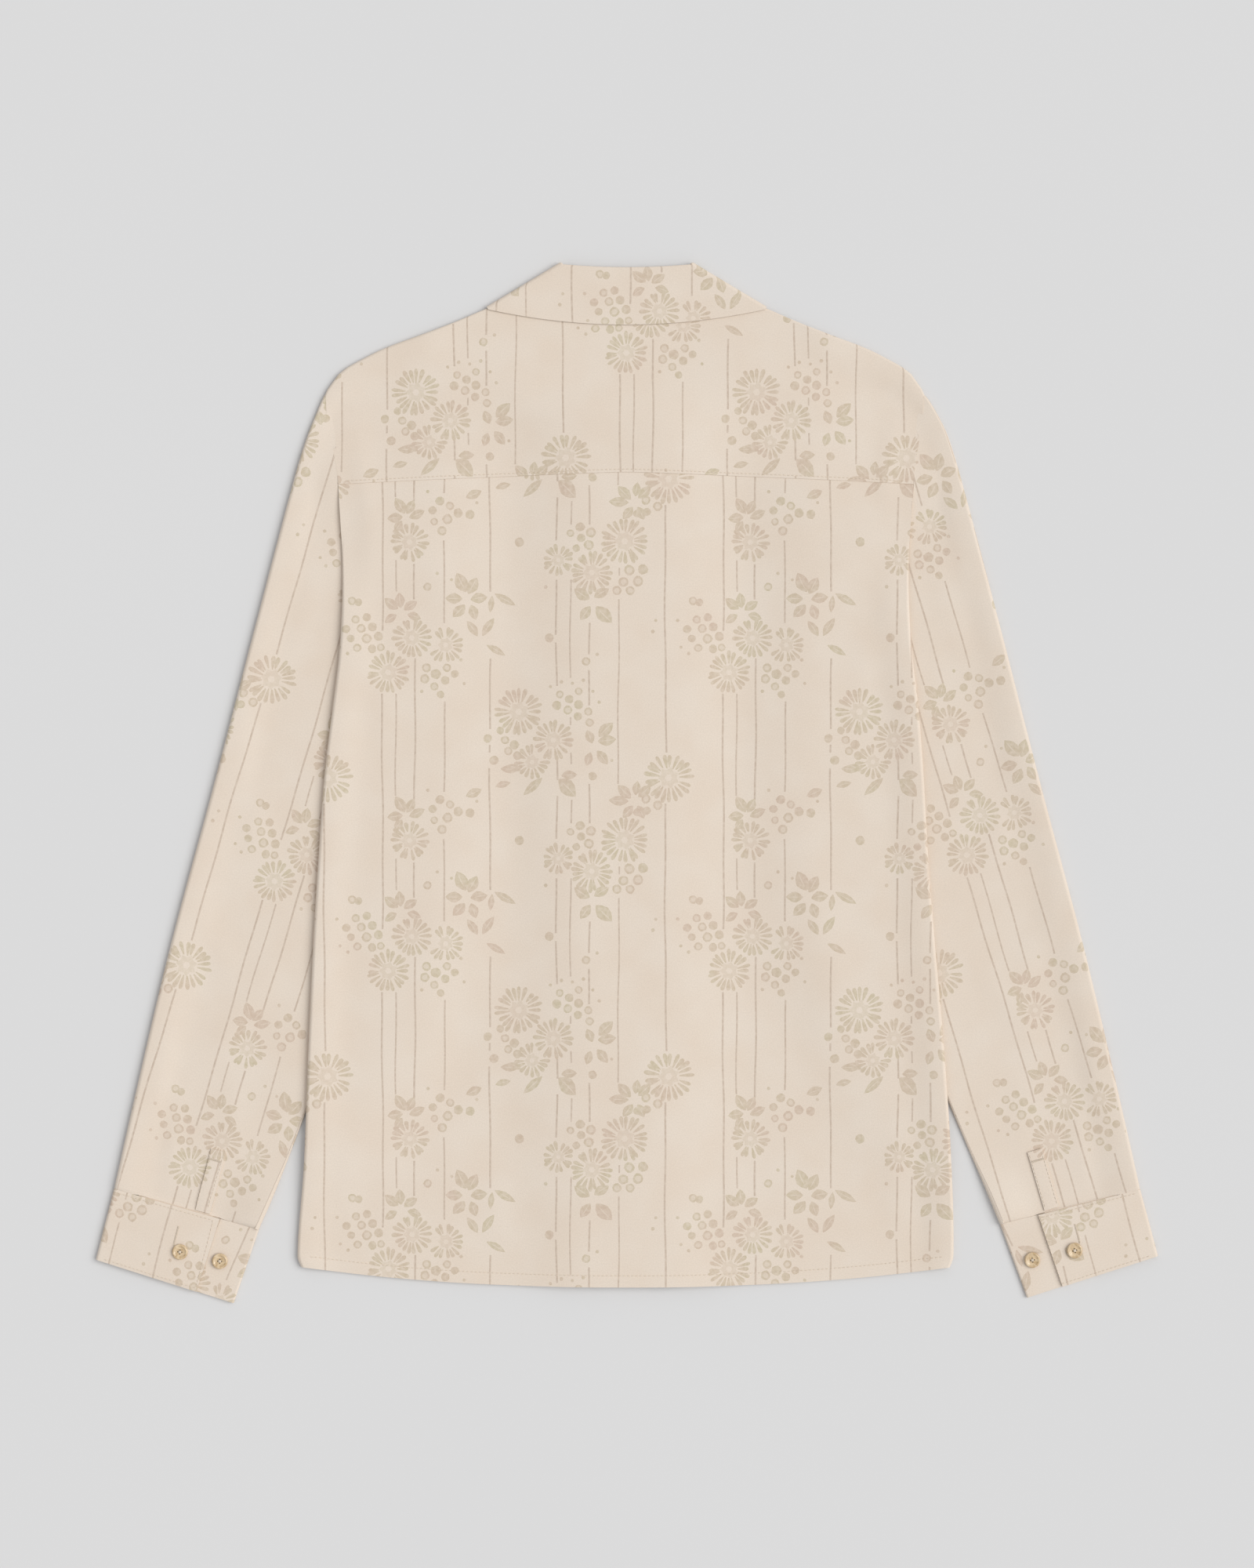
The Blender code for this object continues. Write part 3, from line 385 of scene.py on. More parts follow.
def underside(x, y, side):
    """Middle of the lower layer: the fronts and what is rolled under of the back."""
    return HALF + sleeve_lift(x, y, side, 0.0) + collar_lift(x, y, 0.0)


def front_surface(x, y, side):
    """Middle of one front, which rides over the buttons and over the other front."""
    own = x * side
    over_buttons = (BUTTON_THICK + GAP) * ramp(own, *BUTTON_RISE_X) * ramp(y, *BUTTON_RISE_Y)
    over_front = 0.0
    if side == RIGHT:
        over_front = FRONT_STEP * ramp(own, *OVERLAP_RISE_X) * ramp(y, *OVERLAP_RISE_Y)
    return underside(x, y, side) + over_buttons + over_front


def shoulder_puff(x, y):
    """Extra height of the yoke and the sleeve head beside the shoulder's fold."""
    near = ramp(shoulder_line(x) - y, PUFF_REACH, SHOULDER_PUFF_NEAR)
    return SHOULDER_PUFF * near * ramp(abs(x), *SHOULDER_PUFF_X)


def side_puff(y):
    return SIDE_PUFF * ramp(y, *SIDE_PUFF_TOP_Y) * ramp(y, *SIDE_PUFF_FOOT_Y)


def back_surface(x, y):
    """Middle of the upper layer: the back and the yoke."""
    side = LEFT if x < 0 else RIGHT
    height = HALF + LAYER + sleeve_lift(x, y, side, SPREAD) + collar_lift(x, y, SPREAD)
    over_placket = (BUTTON_THICK + GAP + FRONT_STEP) * ramp(abs(x), *BACK_RISE_X)
    height += over_placket * ramp(y, *BACK_RISE_Y)
    edge = body_edge(y, side)
    height += side_puff(y) * ramp(abs(x), edge - PUFF_REACH, edge - SIDE_PUFF_NEAR)
    return height + shoulder_puff(x, y)


# Creases, given as soft ridges: two ends, height and half width
Crease = namedtuple("Crease", "x0 y0 x1 y1 height width")
CREASE_SCALE = 0.75
BODY_CREASES = (
    Crease(-0.196, 0.262, -0.188, 0.150, 0.0010, 0.010),
    Crease(-0.170, 0.205, -0.120, 0.120, 0.0007, 0.016),
    Crease(0.196, 0.268, 0.190, 0.205, 0.0012, 0.008),
    Crease(0.176, 0.190, 0.120, 0.110, 0.0008, 0.015),
    Crease(0.205, 0.150, 0.165, 0.060, 0.0007, 0.013),
    Crease(-0.205, 0.130, -0.175, 0.030, 0.0008, 0.012),
    Crease(-0.150, -0.060, -0.135, -0.260, 0.0006, 0.020),
    Crease(-0.060, 0.060, -0.050, -0.150, 0.0005, 0.022),
    Crease(0.055, 0.170, 0.062, -0.040, 0.0005, 0.022),
    Crease(0.132, -0.030, 0.150, -0.230, 0.0007, 0.020),
    Crease(0.010, -0.200, 0.004, -0.345, 0.0006, 0.018),
    Crease(-0.095, -0.280, -0.088, -0.352, 0.0008, 0.013),
    Crease(0.082, -0.285, 0.090, -0.350, 0.0008, 0.014),
    Crease(0.195, -0.250, 0.205, -0.340, 0.0008, 0.012),
    Crease(-0.205, -0.230, -0.214, -0.335, 0.0008, 0.012),
    Crease(-0.090, 0.300, -0.050, 0.255, 0.0005, 0.014),
    Crease(0.105, 0.305, 0.150, 0.262, 0.0006, 0.014),
)
SLEEVE_CREASES = (
    Crease(0.236, 0.230, 0.246, 0.120, 0.0011, 0.009),
    Crease(0.226, 0.170, 0.262, 0.060, 0.0009, 0.012),
    Crease(0.285, 0.040, 0.268, -0.060, 0.0008, 0.012),
    Crease(0.262, 0.010, 0.300, -0.110, 0.0007, 0.014),
    Crease(0.318, -0.070, 0.290, -0.150, 0.0009, 0.012),
    Crease(0.262, -0.130, 0.300, -0.200, 0.0009, 0.012),
    Crease(0.336, -0.150, 0.348, -0.245, 0.0010, 0.009),
    Crease(0.290, -0.215, 0.285, -0.275, 0.0008, 0.009),
    Crease(0.326, -0.225, 0.338, -0.290, 0.0011, 0.007),
)

# A crease starts before its first end and ends beyond its second, in shares of its length,
# sways by a share of its width, and has no height further off than some widths
CREASE_BEFORE = -0.2
CREASE_BEYOND = 1.2
CREASE_FULL = (0.35, 0.65)
CREASE_SWAY = 0.25
CREASE_BENDS = 5.0
CREASE_PHASE = 40.0
CREASE_REACH = 2.2
CREASE_FALLOFF = 1.4

# Unevenness of laid cloth: products of two crossing waves, in radians a metre
Wave = namedtuple("Wave", "x y phase")
Ripple = namedtuple("Ripple", "height first second")
RIPPLES = (
    Ripple(0.000220, Wave(23.0, 9.0, 1.3), Wave(-6.0, 17.0, 0.4)),
    Ripple(0.000132, Wave(61.0, -14.0, 0.0), Wave(21.0, 38.0, 2.0)),
)


def crease_height(creases, x, y):
    """Height that the creases add at a point: each is highest half way along."""
    total = 0.0
    for crease in creases:
        run_x, run_y = crease.x1 - crease.x0, crease.y1 - crease.y0
        length2 = run_x * run_x + run_y * run_y
        along = ((x - crease.x0) * run_x + (y - crease.y0) * run_y) / length2
        if not CREASE_BEFORE < along < CREASE_BEYOND:
            continue
        bend_at = CREASE_BENDS * along + CREASE_PHASE * crease.x0
        sway = CREASE_SWAY * crease.width * math.sin(bend_at)
        off = ((x - crease.x0) * run_y - (y - crease.y0) * run_x) / math.sqrt(length2) + sway
        reach = abs(off) / crease.width
        if reach < CREASE_REACH:
            start_full, end_full = CREASE_FULL
            ends = ramp(along, CREASE_BEFORE, start_full) * ramp(along, CREASE_BEYOND, end_full)
            total += CREASE_SCALE * crease.height * ends * math.exp(-reach ** 2 * CREASE_FALLOFF)
    return total


def wave_at(wave, x, y):
    return math.sin(wave.x * x + wave.y * y + wave.phase)


def ripple(x, y):
    return sum(r.height * wave_at(r.first, x, y) * wave_at(r.second, x, y) for r in RIPPLES)


# Sheets

# A quad whose opposite corners' normals differ by more than this cosine follows a fold
BENT_COSINE = 0.997


class Sheet:
    """A grid of points with its cut, the flat pattern that it was made from."""

    def __init__(self, us, vs, spot, keep=None, wall=WALL):
        self.wall = wall
        self.places = []
        self.cuts = []
        count = len(us)
        for v in vs:
            for u in us:
                place, cut = spot(u, v)
                self.places.append(place)
                self.cuts.append(cut)
        self.quads = []
        for j in range(len(vs) - 1):
            for i in range(count - 1):
                if keep is None or keep(us[i], us[i + 1], vs[j + 1]):
                    base = j * count + i
                    self.quads.append((base, base + 1, base + count + 1, base + count))
        self.find_normals()
        flat = [(cut.x, cut.y, 0.0) for cut in self.cuts]
        self.triangles = [t for q in self.quads for t in ((q[0], q[1], q[2]), (q[0], q[2], q[3]))]
        self.tree = BVHTree.FromPolygons(flat, self.triangles)

    def find_normals(self):
        self.normals = [Vector((0.0, 0.0, 0.0)) for _ in self.places]
        for quad in self.quads:
            a, b, c, d = (self.places[i] for i in quad)
            normal = (c - a).cross(d - b)
            for i in quad:
                self.normals[i] += normal
        for normal in self.normals:
            if normal.length > 0.0:
                normal.normalize()

    def turn_over(self):
        for normal in self.normals:
            normal.negate()

    def turn_out(self):
        """Make the normals point away from the garment: up, where the sheet lies on top."""
        highest = max(range(len(self.places)), key=lambda i: self.places[i].z)
        if self.normals[highest].z < 0.0:
            self.turn_over()

    def rim_edges(self):
        """Edges round the sheet, as pairs of indices."""
        used = {(q[k], q[(k + 1) % 4]) for q in self.quads for k in range(4)}
        return sorted(edge for edge in used if (edge[1], edge[0]) not in used)

    def bent_edges(self):
        """Edges of the quads that bend, where the pattern has to follow the fold."""
        bent = set()
        for quad in self.quads:
            first, second, third, fourth = (self.normals[i] for i in quad)
            if min(first.dot(third), second.dot(fourth)) < BENT_COSINE:
                bent |= {tuple(sorted((quad[k], quad[(k + 1) % 4]))) for k in range(4)}
        return sorted(bent)

    def covers(self, x, y):
        return self.tree.ray_cast(Vector((x, y, 1.0)), Vector((0.0, 0.0, -1.0)))[2] is not None

    def at(self, x, y):
        """Place and normal of the sheet at a point of its cut."""
        point = Vector((x, y, 0.0))
        found = self.tree.ray_cast(Vector((x, y, 1.0)), Vector((0.0, 0.0, -1.0)))
        index = found[2]
        if index is None:
            point, _, index, _ = self.tree.find_nearest(point)
        corners = self.triangles[index]
        flat = [Vector((self.cuts[i].x, self.cuts[i].y, 0.0)) for i in corners]
        place = barycentric_transform(point, *flat, *(self.places[i] for i in corners))
        normal = barycentric_transform(point, *flat, *(self.normals[i] for i in corners))
        return place, normal.normalized()

    def box(self):
        xs = [cut.x for cut in self.cuts]
        ys = [cut.y for cut in self.cuts]
        return min(xs), max(xs), min(ys), max(ys)


# The woven pattern, charted for one repeat: x to the right and y down, in units of
# CHART from the first stripe of a group and the yoke's seam

CHART = 0.000575
REPEAT_X = 434.0
REPEAT_Y = 380.0
GROUND, MOTIF, STRIPE, PALE = 0, 1, 2, 3

Daisy = namedtuple("Daisy", "x y radius petals")
DAISIES = (
    Daisy(34.5, 72, 25, 18),
    Daisy(37.5, 194, 25, 18),
    Daisy(80.5, 203, 23, 17),
    Daisy(7.5, 238, 27, 20),
    Daisy(364.5, -8, 31, 21),
    Daisy(308.5, 71, 30, 21),
    Daisy(266.5, 111, 26.5, 19),
    Daisy(224.0, 95, 20, 15),
    Daisy(173.5, 288, 30, 21),
    Daisy(217.5, 324, 25.5, 18),
    Daisy(190.5, 352, 22, 16),
)

# Leaf blades: foot, direction in degrees anticlockwise from the right, length and width
Leaf = namedtuple("Leaf", "x y angle length width")
LEAVES = (
    Leaf(30, 38, 120, 26, 14), Leaf(30, 38, 60, 22, 12), Leaf(28, 40, 185, 22, 13),
    Leaf(32, 42, 20, 24, 12), Leaf(26, 44, 235, 18, 11),
    Leaf(24, 158, 100, 22, 13), Leaf(22, 158, 150, 24, 13), Leaf(26, 160, 40, 22, 12),
    Leaf(20, 164, 205, 20, 11), Leaf(30, 164, 350, 20, 11),
    Leaf(108, 138, 120, 30, 17), Leaf(108, 140, 62, 26, 15), Leaf(104, 144, 180, 24, 14),
    Leaf(110, 146, 15, 24, 14), Leaf(106, 150, 232, 24, 14), Leaf(112, 150, 290, 22, 13),
    Leaf(140, 136, 330, 34, 10), Leaf(140, 138, 262, 24, 8),
    Leaf(122, 194, 118, 26, 11), Leaf(126, 194, 62, 30, 11), Leaf(130, 202, 335, 30, 9),
    Leaf(318, 20, 135, 26, 14), Leaf(316, 22, 178, 28, 13), Leaf(320, 26, 232, 22, 12),
    Leaf(324, 26, 300, 20, 12), Leaf(324, 18, 40, 24, 13), Leaf(322, 16, 82, 20, 11),
    Leaf(266, 146, 150, 26, 15), Leaf(268, 144, 35, 24, 13), Leaf(266, 152, 235, 24, 13),
    Leaf(270, 152, 312, 32, 18),
    Leaf(274, 322, 50, 28, 15), Leaf(272, 326, 5, 26, 14), Leaf(268, 330, 110, 20, 12),
    Leaf(266, 338, 250, 20, 11), Leaf(272, 336, 310, 24, 13),
    Leaf(222, 372, 320, 34, 20), Leaf(226, 370, 10, 22, 12),
    Leaf(206, 370, 222, 36, 11), Leaf(176, 362, 175, 26, 11), Leaf(178, 364, 150, 20, 9),
    Leaf(128, 6, 205, 24, 12), Leaf(142, 4, 20, 22, 9),
)

# Berries: centre, radius, and 1 for a ring or 0 for a filled one
Berry = namedtuple("Berry", "x y radius ring")
BERRIES = (
    Berry(-46, 183, 5.5, 0), Berry(-34, 171, 5.5, 1), Berry(-20, 168, 5.5, 0),
    Berry(-27, 182, 6.0, 1), Berry(-13, 180, 6.0, 0), Berry(-40, 195, 5.0, 0),
    Berry(-20, 195, 6.5, 1), Berry(-5, 192, 6.0, 0), Berry(-32, 207, 5.5, 1),
    Berry(-13, 208, 5.5, 0), Berry(-2, 206, 5.0, 1),
    Berry(96.5, 35, 6.0, 0), Berry(111.5, 37, 6.0, 0), Berry(83, 43, 6.5, 1),
    Berry(76, 58, 6.0, 1), Berry(73.5, 20, 6.0, 0), Berry(86, 26, 5.5, 1),
    Berry(64, 32, 5.5, 0), Berry(66, 46, 5.0, 1),
    Berry(239.5, 61, 5.0, 1), Berry(252, 53, 6.0, 0), Berry(265.5, 60, 6.5, 1),
    Berry(253, 67, 5.5, 0), Berry(263, 76, 6.5, 1), Berry(247, 80, 5.0, 0),
    Berry(314.5, 108, 7.0, 1), Berry(332, 107, 6.5, 0), Berry(307, 123, 6.5, 1),
    Berry(325.5, 122, 7.0, 1), Berry(298.5, 134, 6.0, 1), Berry(315.5, 134, 6.0, 1),
    Berry(335.5, 19, 6.0, 1), Berry(350.5, 27, 6.0, 1), Berry(336.5, 34, 5.5, 0),
    Berry(324, 36, 5.0, 0),
    Berry(226, 266, 5.0, 1), Berry(238, 272, 5.5, 0), Berry(250, 262, 5.0, 1),
    Berry(222, 280, 6.0, 0), Berry(236, 286, 6.0, 1), Berry(250, 279, 6.0, 0),
    Berry(262, 288, 5.5, 1), Berry(249, 294, 5.5, 0), Berry(264, 302, 5.5, 1),
    Berry(156, 324, 5.5, 1), Berry(168, 330, 6.0, 0), Berry(160, 338, 5.5, 1),
    Berry(172, 344, 5.5, 0), Berry(150, 312, 5.0, 0),
    Berry(56, 232, 6.0, 1), Berry(68, 240, 6.5, 0), Berry(54, 246, 6.0, 1),
    Berry(82, 232, 5.5, 1), Berry(80, 248, 5.5, 0), Berry(66, 256, 5.5, 1),
    Berry(92, 240, 5.0, 0), Berry(74, 266, 5.0, 0),
    Berry(174.5, 72, 6.0, 0), Berry(57.5, 129, 5.5, 1), Berry(-30.5, 149, 5.0, 0),
    Berry(212.5, 194, 6.0, 0), Berry(259.5, 224, 5.5, 1), Berry(267.5, 370, 5.5, 0),
    Berry(172.5, 70, 3.0, 0), Berry(395.5, 147, 5.5, 1), Berry(134, 322, 5.5, 0),
    Berry(142, 350, 6.0, 0),
    Berry(208, 129, 2.6, 0), Berry(273.5, 215, 2.4, 0), Berry(344.5, 186, 2.6, 0),
    Berry(228, 250, 2.5, 0), Berry(242, 252, 2.2, 0), Berry(256, 248, 2.6, 0),
    Berry(268, 262, 2.2, 0), Berry(276, 276, 2.4, 0), Berry(214, 256, 2.2, 0),
    Berry(-58, 172, 2.4, 0), Berry(-54, 206, 2.2, 0), Berry(-44, 214, 2.4, 0),
    Berry(100, 222, 2.4, 0), Berry(104, 252, 2.2, 0), Berry(50, 262, 2.4, 0),
    Berry(120, 22, 2.2, 0), Berry(58, 8, 2.4, 0), Berry(348, 172, 2.2, 0),
    Berry(88, 120, 2.2, 0), Berry(70, 112, 2.4, 0), Berry(292, 350, 2.2, 0),
)

# Stripes: offset from the first one of the repeat and width
Stripe = namedtuple("Stripe", "x width")
STRIPES = (
    Stripe(0, 2.4), Stripe(17.5, 2.0), Stripe(41, 2.4), Stripe(79, 2.2), Stripe(137, 2.4),
    Stripe(222, 2.4), Stripe(240, 2.0), Stripe(263.5, 2.4), Stripe(300.7, 2.0),
    Stripe(360.5, 2.4),
)


def uneven(seed):
    """A number from -1 to 1 that a seed always gives."""
    return 2.0 * ((math.sin(seed * 12.9898) * 43758.5453) % 1.0) - 1.0


# Half widths along a petal, a leaf and its vein, as shares of the widest
PETAL_PROFILE = ((0.0, 0.25), (0.45, 0.80), (0.78, 1.0), (0.95, 0.62), (1.0, 0.0))
LEAF_PROFILE = ((0.0, 0.10), (0.18, 0.62), (0.42, 1.0), (0.66, 0.86), (0.84, 0.50), (1.0, 0.0))
VEIN_PROFILE = ((0.0, 0.0), (0.45, 0.11), (1.0, 0.0))

# Daisies, as shares of the radius, and a petal's width as a share of the room that it has
PETAL_FOOT = 0.42
PETAL_WIDTH = 0.60
EYE_TOOTH = 0.45
EYE_NOTCH = 0.32
EYE_CORNERS = 14
HEART_RADIUS = 0.15
HEART_CORNERS = 6
COVERED_WITHIN = 0.97
NEIGHBOUR_REACH = 60

# How uneven petals and round shapes are: turn, length, foot, width and radius
UNEVEN_TURN = 0.25
UNEVEN_LENGTH = 0.07
UNEVEN_FOOT = 0.05
UNEVEN_WIDTH = 0.08
UNEVEN_RADIUS = 0.08

# Leaves, as shares of the length: where blade and vein start, and how far the tip bows
BLADE_START = 0.10
VEIN_START = 0.22
LEAF_BOW = 0.12

# Berries: the smallest are seeds with few corners, and a ring has a pale middle
SEED_RADIUS = 4.0
SEED_CORNERS = 6
BERRY_CORNERS = 10
RING_CORNERS = 8
RING_INNER = 0.58

# Stripes: steps that they are laid in and the room that each motif keeps clear of them
STRIPE_STEP = 5.0
STRIPE_STRIDE = 4
STRIPE_SWAY = 0.8
STRIPE_SHAKE = 0.5
DAISY_ROOM = 1.0
BERRY_ROOM = 2.5
LEAF_ROOM = 0.42

# A motif's middle may lie so far outside a sheet's cut, in metres, while its edge is on it
MOTIF_REACH = 0.012


def daisy_shapes(daisy, hidden_by):
    """One daisy: its eye and petals, without those that a daisy in front covers."""
    shapes = []
    for k in range(daisy.petals):
        seed = daisy.x * 1.7 + daisy.y + 3.1 * k
        turn = 2 * math.pi * (k + UNEVEN_TURN * uneven(seed)) / daisy.petals
        outer = daisy.radius * (1.0 + UNEVEN_LENGTH * uneven(seed + 5))
        inner = daisy.radius * (PETAL_FOOT + UNEVEN_FOOT * uneven(seed + 9))
        room = math.pi * daisy.radius / daisy.petals
        half = room * (PETAL_WIDTH + UNEVEN_WIDTH * uneven(seed + 2))
        tip = (daisy.x + outer * math.cos(turn), daisy.y + outer * math.sin(turn))
        if any(math.dist(tip, (d.x, d.y)) < COVERED_WITHIN * d.radius for d in hidden_by):
            continue
        left, right = [], []
        for along, wide in PETAL_PROFILE:
            reach = mix(inner, outer, along)
            base = (daisy.x + reach * math.cos(turn), daisy.y + reach * math.sin(turn))
            off = (-math.sin(turn) * half * wide, math.cos(turn) * half * wide)
            left.append((base[0] + off[0], base[1] + off[1]))
            right.append((base[0] - off[0], base[1] - off[1]))
        shapes.append((MOTIF, left + right[-2::-1]))
    eye = []
    for k in range(EYE_CORNERS):
        turn = 2 * math.pi * k / EYE_CORNERS
        reach = daisy.radius * (EYE_TOOTH if k % 2 else EYE_NOTCH)
        eye.append((daisy.x + reach * math.cos(turn), daisy.y + reach * math.sin(turn)))
    heart = round_points(daisy, daisy.radius * HEART_RADIUS, HEART_CORNERS, daisy.x)
    return shapes + [(PALE, eye), (GROUND, heart)]


def leaf_side_points(leaf, profile, start):
    """Left and right edge of a blade or a vein that starts at a share of the leaf's length."""
    angle = math.radians(leaf.angle)
    ahead = (math.cos(angle), -math.sin(angle))
    across = (-ahead[1], ahead[0])
    bow = LEAF_BOW * uneven(leaf.x + leaf.y) * leaf.length
    left, right = [], []
    for along, wide in profile:
        reach = mix(start, 1.0, along) * leaf.length
        sway = bow * along * along
        half = leaf.width / 2 * wide
        centre = (leaf.x + ahead[0] * reach + across[0] * sway,
                  leaf.y + ahead[1] * reach + across[1] * sway)
        left.append((centre[0] + across[0] * half, centre[1] + across[1] * half))
        right.append((centre[0] - across[0] * half, centre[1] - across[1] * half))
    return left, right


def leaf_shapes(leaf):
    """A blade and its paler vein."""
    left, right = leaf_side_points(leaf, LEAF_PROFILE, BLADE_START)
    vein_left, vein_right = leaf_side_points(leaf, VEIN_PROFILE, VEIN_START)
    return [(MOTIF, left + right[-2::-1]), (PALE, vein_left + [vein_right[1]])]


def round_points(spot, radius, corners, seed):
    """Corners of a slightly uneven round."""
    points = []
    for k in range(corners):
        turn = 2 * math.pi * k / corners
        reach = radius * (1.0 + UNEVEN_RADIUS * uneven(seed + k))
        points.append((spot.x + reach * math.cos(turn), spot.y + reach * math.sin(turn)))
    return points


def berry_shapes(berry):
    """A seed, a filled berry or a ring."""
    seed = berry.x * 0.7 + berry.y * 1.3
    if berry.radius < SEED_RADIUS:
        return [(MOTIF, round_points(berry, berry.radius, SEED_CORNERS, seed))]
    shapes = [(MOTIF, round_points(berry, berry.radius, BERRY_CORNERS, seed))]
    if berry.ring:
        inner = berry.radius * RING_INNER
        shapes.append((PALE, round_points(berry, inner, RING_CORNERS, seed + 20)))
    return shapes


def wobble(stripe, y):
    """How far a stripe strays sideways; whole turns in a repeat, so that repeats join."""
    phase = 2 * math.pi * y / REPEAT_Y
    slow = STRIPE_SWAY * math.sin(phase + stripe.x)
    return slow + STRIPE_SHAKE * math.sin(3 * phase + 2.1 * stripe.x)


def stripe_pieces():
    """Short lengths of stripe, left out where a motif lies in the way."""
    blocked = [(d.x, d.y, d.radius + DAISY_ROOM) for d in DAISIES]
    blocked += [(b.x, b.y, b.radius + BERRY_ROOM) for b in BERRIES]
    for leaf in LEAVES:
        angle = math.radians(leaf.angle)
        blocked.append((leaf.x + 0.5 * leaf.length * math.cos(angle),
                        leaf.y - 0.5 * leaf.length * math.sin(angle),
                        LEAF_ROOM * leaf.length))
    last = int(REPEAT_Y / STRIPE_STEP)
    pieces = []
    for stripe in STRIPES:
        run = []
        for k in range(last + 1):
            y = k * STRIPE_STEP
            x = stripe.x + wobble(stripe, y)
            free = all(math.dist((x - sx * REPEAT_X, y - sy * REPEAT_Y), (bx, by)) > reach
                       for bx, by, reach in blocked for sx in (-1, 0, 1) for sy in (-1, 0, 1))
            if free:
                run.append((x, y, stripe.width / 2))
            if run and (not free or k == last):
                if len(run) > 2:
                    pieces.append(run)
                run = []
    polygons = []
    for run in pieces:
        thin = run[::STRIPE_STRIDE]
        if (len(run) - 1) % STRIPE_STRIDE:
            thin.append(run[-1])
        for (x0, y0, half), (x1, y1, _) in zip(thin, thin[1:]):
            polygons.append([(x0 - half, y0), (x0 + half, y0), (x1 + half, y1), (x1 - half, y1)])
    return polygons


def chart_repeat():
    """Every shape of one repeat as (kind, points); a later one lies over an earlier one."""
    shapes = [(STRIPE, points) for points in stripe_pieces()]
    for leaf in LEAVES:
        shapes += leaf_shapes(leaf)
    for index, daisy in reversed(list(enumerate(DAISIES))):
        in_front = [d for d in DAISIES[:index]
                    if math.dist((d.x, d.y), (daisy.x, daisy.y)) < NEIGHBOUR_REACH]
        shapes += daisy_shapes(daisy, in_front)
    for berry in BERRIES:
        shapes += berry_shapes(berry)
    return shapes


REPEAT_SHAPES = chart_repeat()


def pattern_shapes(box, origin):
    """Polygons of the pattern, in metres, wherever they fall in a box of a sheet's cut."""
    low_x, high_x, low_y, high_y = box
    first_x = math.floor((low_x - origin[0]) / (REPEAT_X * CHART)) - 1
    last_x = math.ceil((high_x - origin[0]) / (REPEAT_X * CHART)) + 1
    first_y = math.floor((origin[1] - high_y) / (REPEAT_Y * CHART)) - 1
    last_y = math.ceil((origin[1] - low_y) / (REPEAT_Y * CHART)) + 1
    shapes = []
    for column in range(first_x, last_x + 1):
        for row in range(first_y, last_y + 1):
            for kind, points in REPEAT_SHAPES:
                moved = [(origin[0] + (x + column * REPEAT_X) * CHART,
                          origin[1] - (y + row * REPEAT_Y) * CHART) for x, y in points]
                middle_x = sum(p[0] for p in moved) / len(moved)
                middle_y = sum(p[1] for p in moved) / len(moved)
                if (low_x - MOTIF_REACH < middle_x < high_x + MOTIF_REACH
                        and low_y - MOTIF_REACH < middle_y < high_y + MOTIF_REACH):
                    shapes.append((kind, moved))
    return shapes


# Meshes

UV_NAME = "Cut"
WOVEN_NAME = "woven"
BUCKET = 0.004
CUT_MERGE = 1e-7

# For each piece: where the pattern's repeat starts on its cut, and its whole cut's size
Cut = namedtuple("Cut", "origin flat")
BACK_CUT = Cut((-0.1788, 0.2179), (0.490, 0.605))
YOKE_CUT = Cut((-0.2541, 0.2334), (0.440, 0.210))
COLLAR_CUT = Cut((0.0026, 0.4571), (0.420, 0.075))
FRONT_CUT = Cut((-0.2300, 0.2000), (0.256, 0.705))
LAPEL_CUT = Cut((-0.2100, 0.3000), (0.080, 0.075))
SLEEVE_CUTS = {LEFT: Cut((-0.4808, 0.2131), (0.400, 0.610)),
               RIGHT: Cut((0.2200, 0.0154), (0.400, 0.610))}
CUFF_CUTS = {LEFT: Cut((-0.1631, 0.0610), (0.255, 0.056)),
             RIGHT: Cut((-0.2211, 0.0610), (0.255, 0.056))}
SLEEVE_PLACKET_CUTS = {LEFT: Cut((-0.4808, 0.2131), (0.012, 0.048)),
                       RIGHT: Cut((0.2200, 0.0154), (0.012, 0.048))}


def inside_polygon(x, y, corners):
    """Whether a polygon's edges are crossed an odd number of times to the left of a point."""
    inside = False
    for (x0, y0), (x1, y1) in zip(corners, corners[1:] + corners[:1]):
        if (y0 > y) != (y1 > y) and x < x0 + (x1 - x0) * (y - y0) / (y1 - y0):
            inside = not inside
    return inside


def bucket_shapes(shapes):
    """Sort the pattern's polygons into square buckets of the cut."""
    buckets = {}
    for kind, corners in shapes:
        xs = [p[0] for p in corners]
        ys = [p[1] for p in corners]
        for i in range(math.floor(min(xs) / BUCKET), math.floor(max(xs) / BUCKET) + 1):
            for j in range(math.floor(min(ys) / BUCKET), math.floor(max(ys) / BUCKET) + 1):
                buckets.setdefault((i, j), []).append((kind, corners))
    return buckets


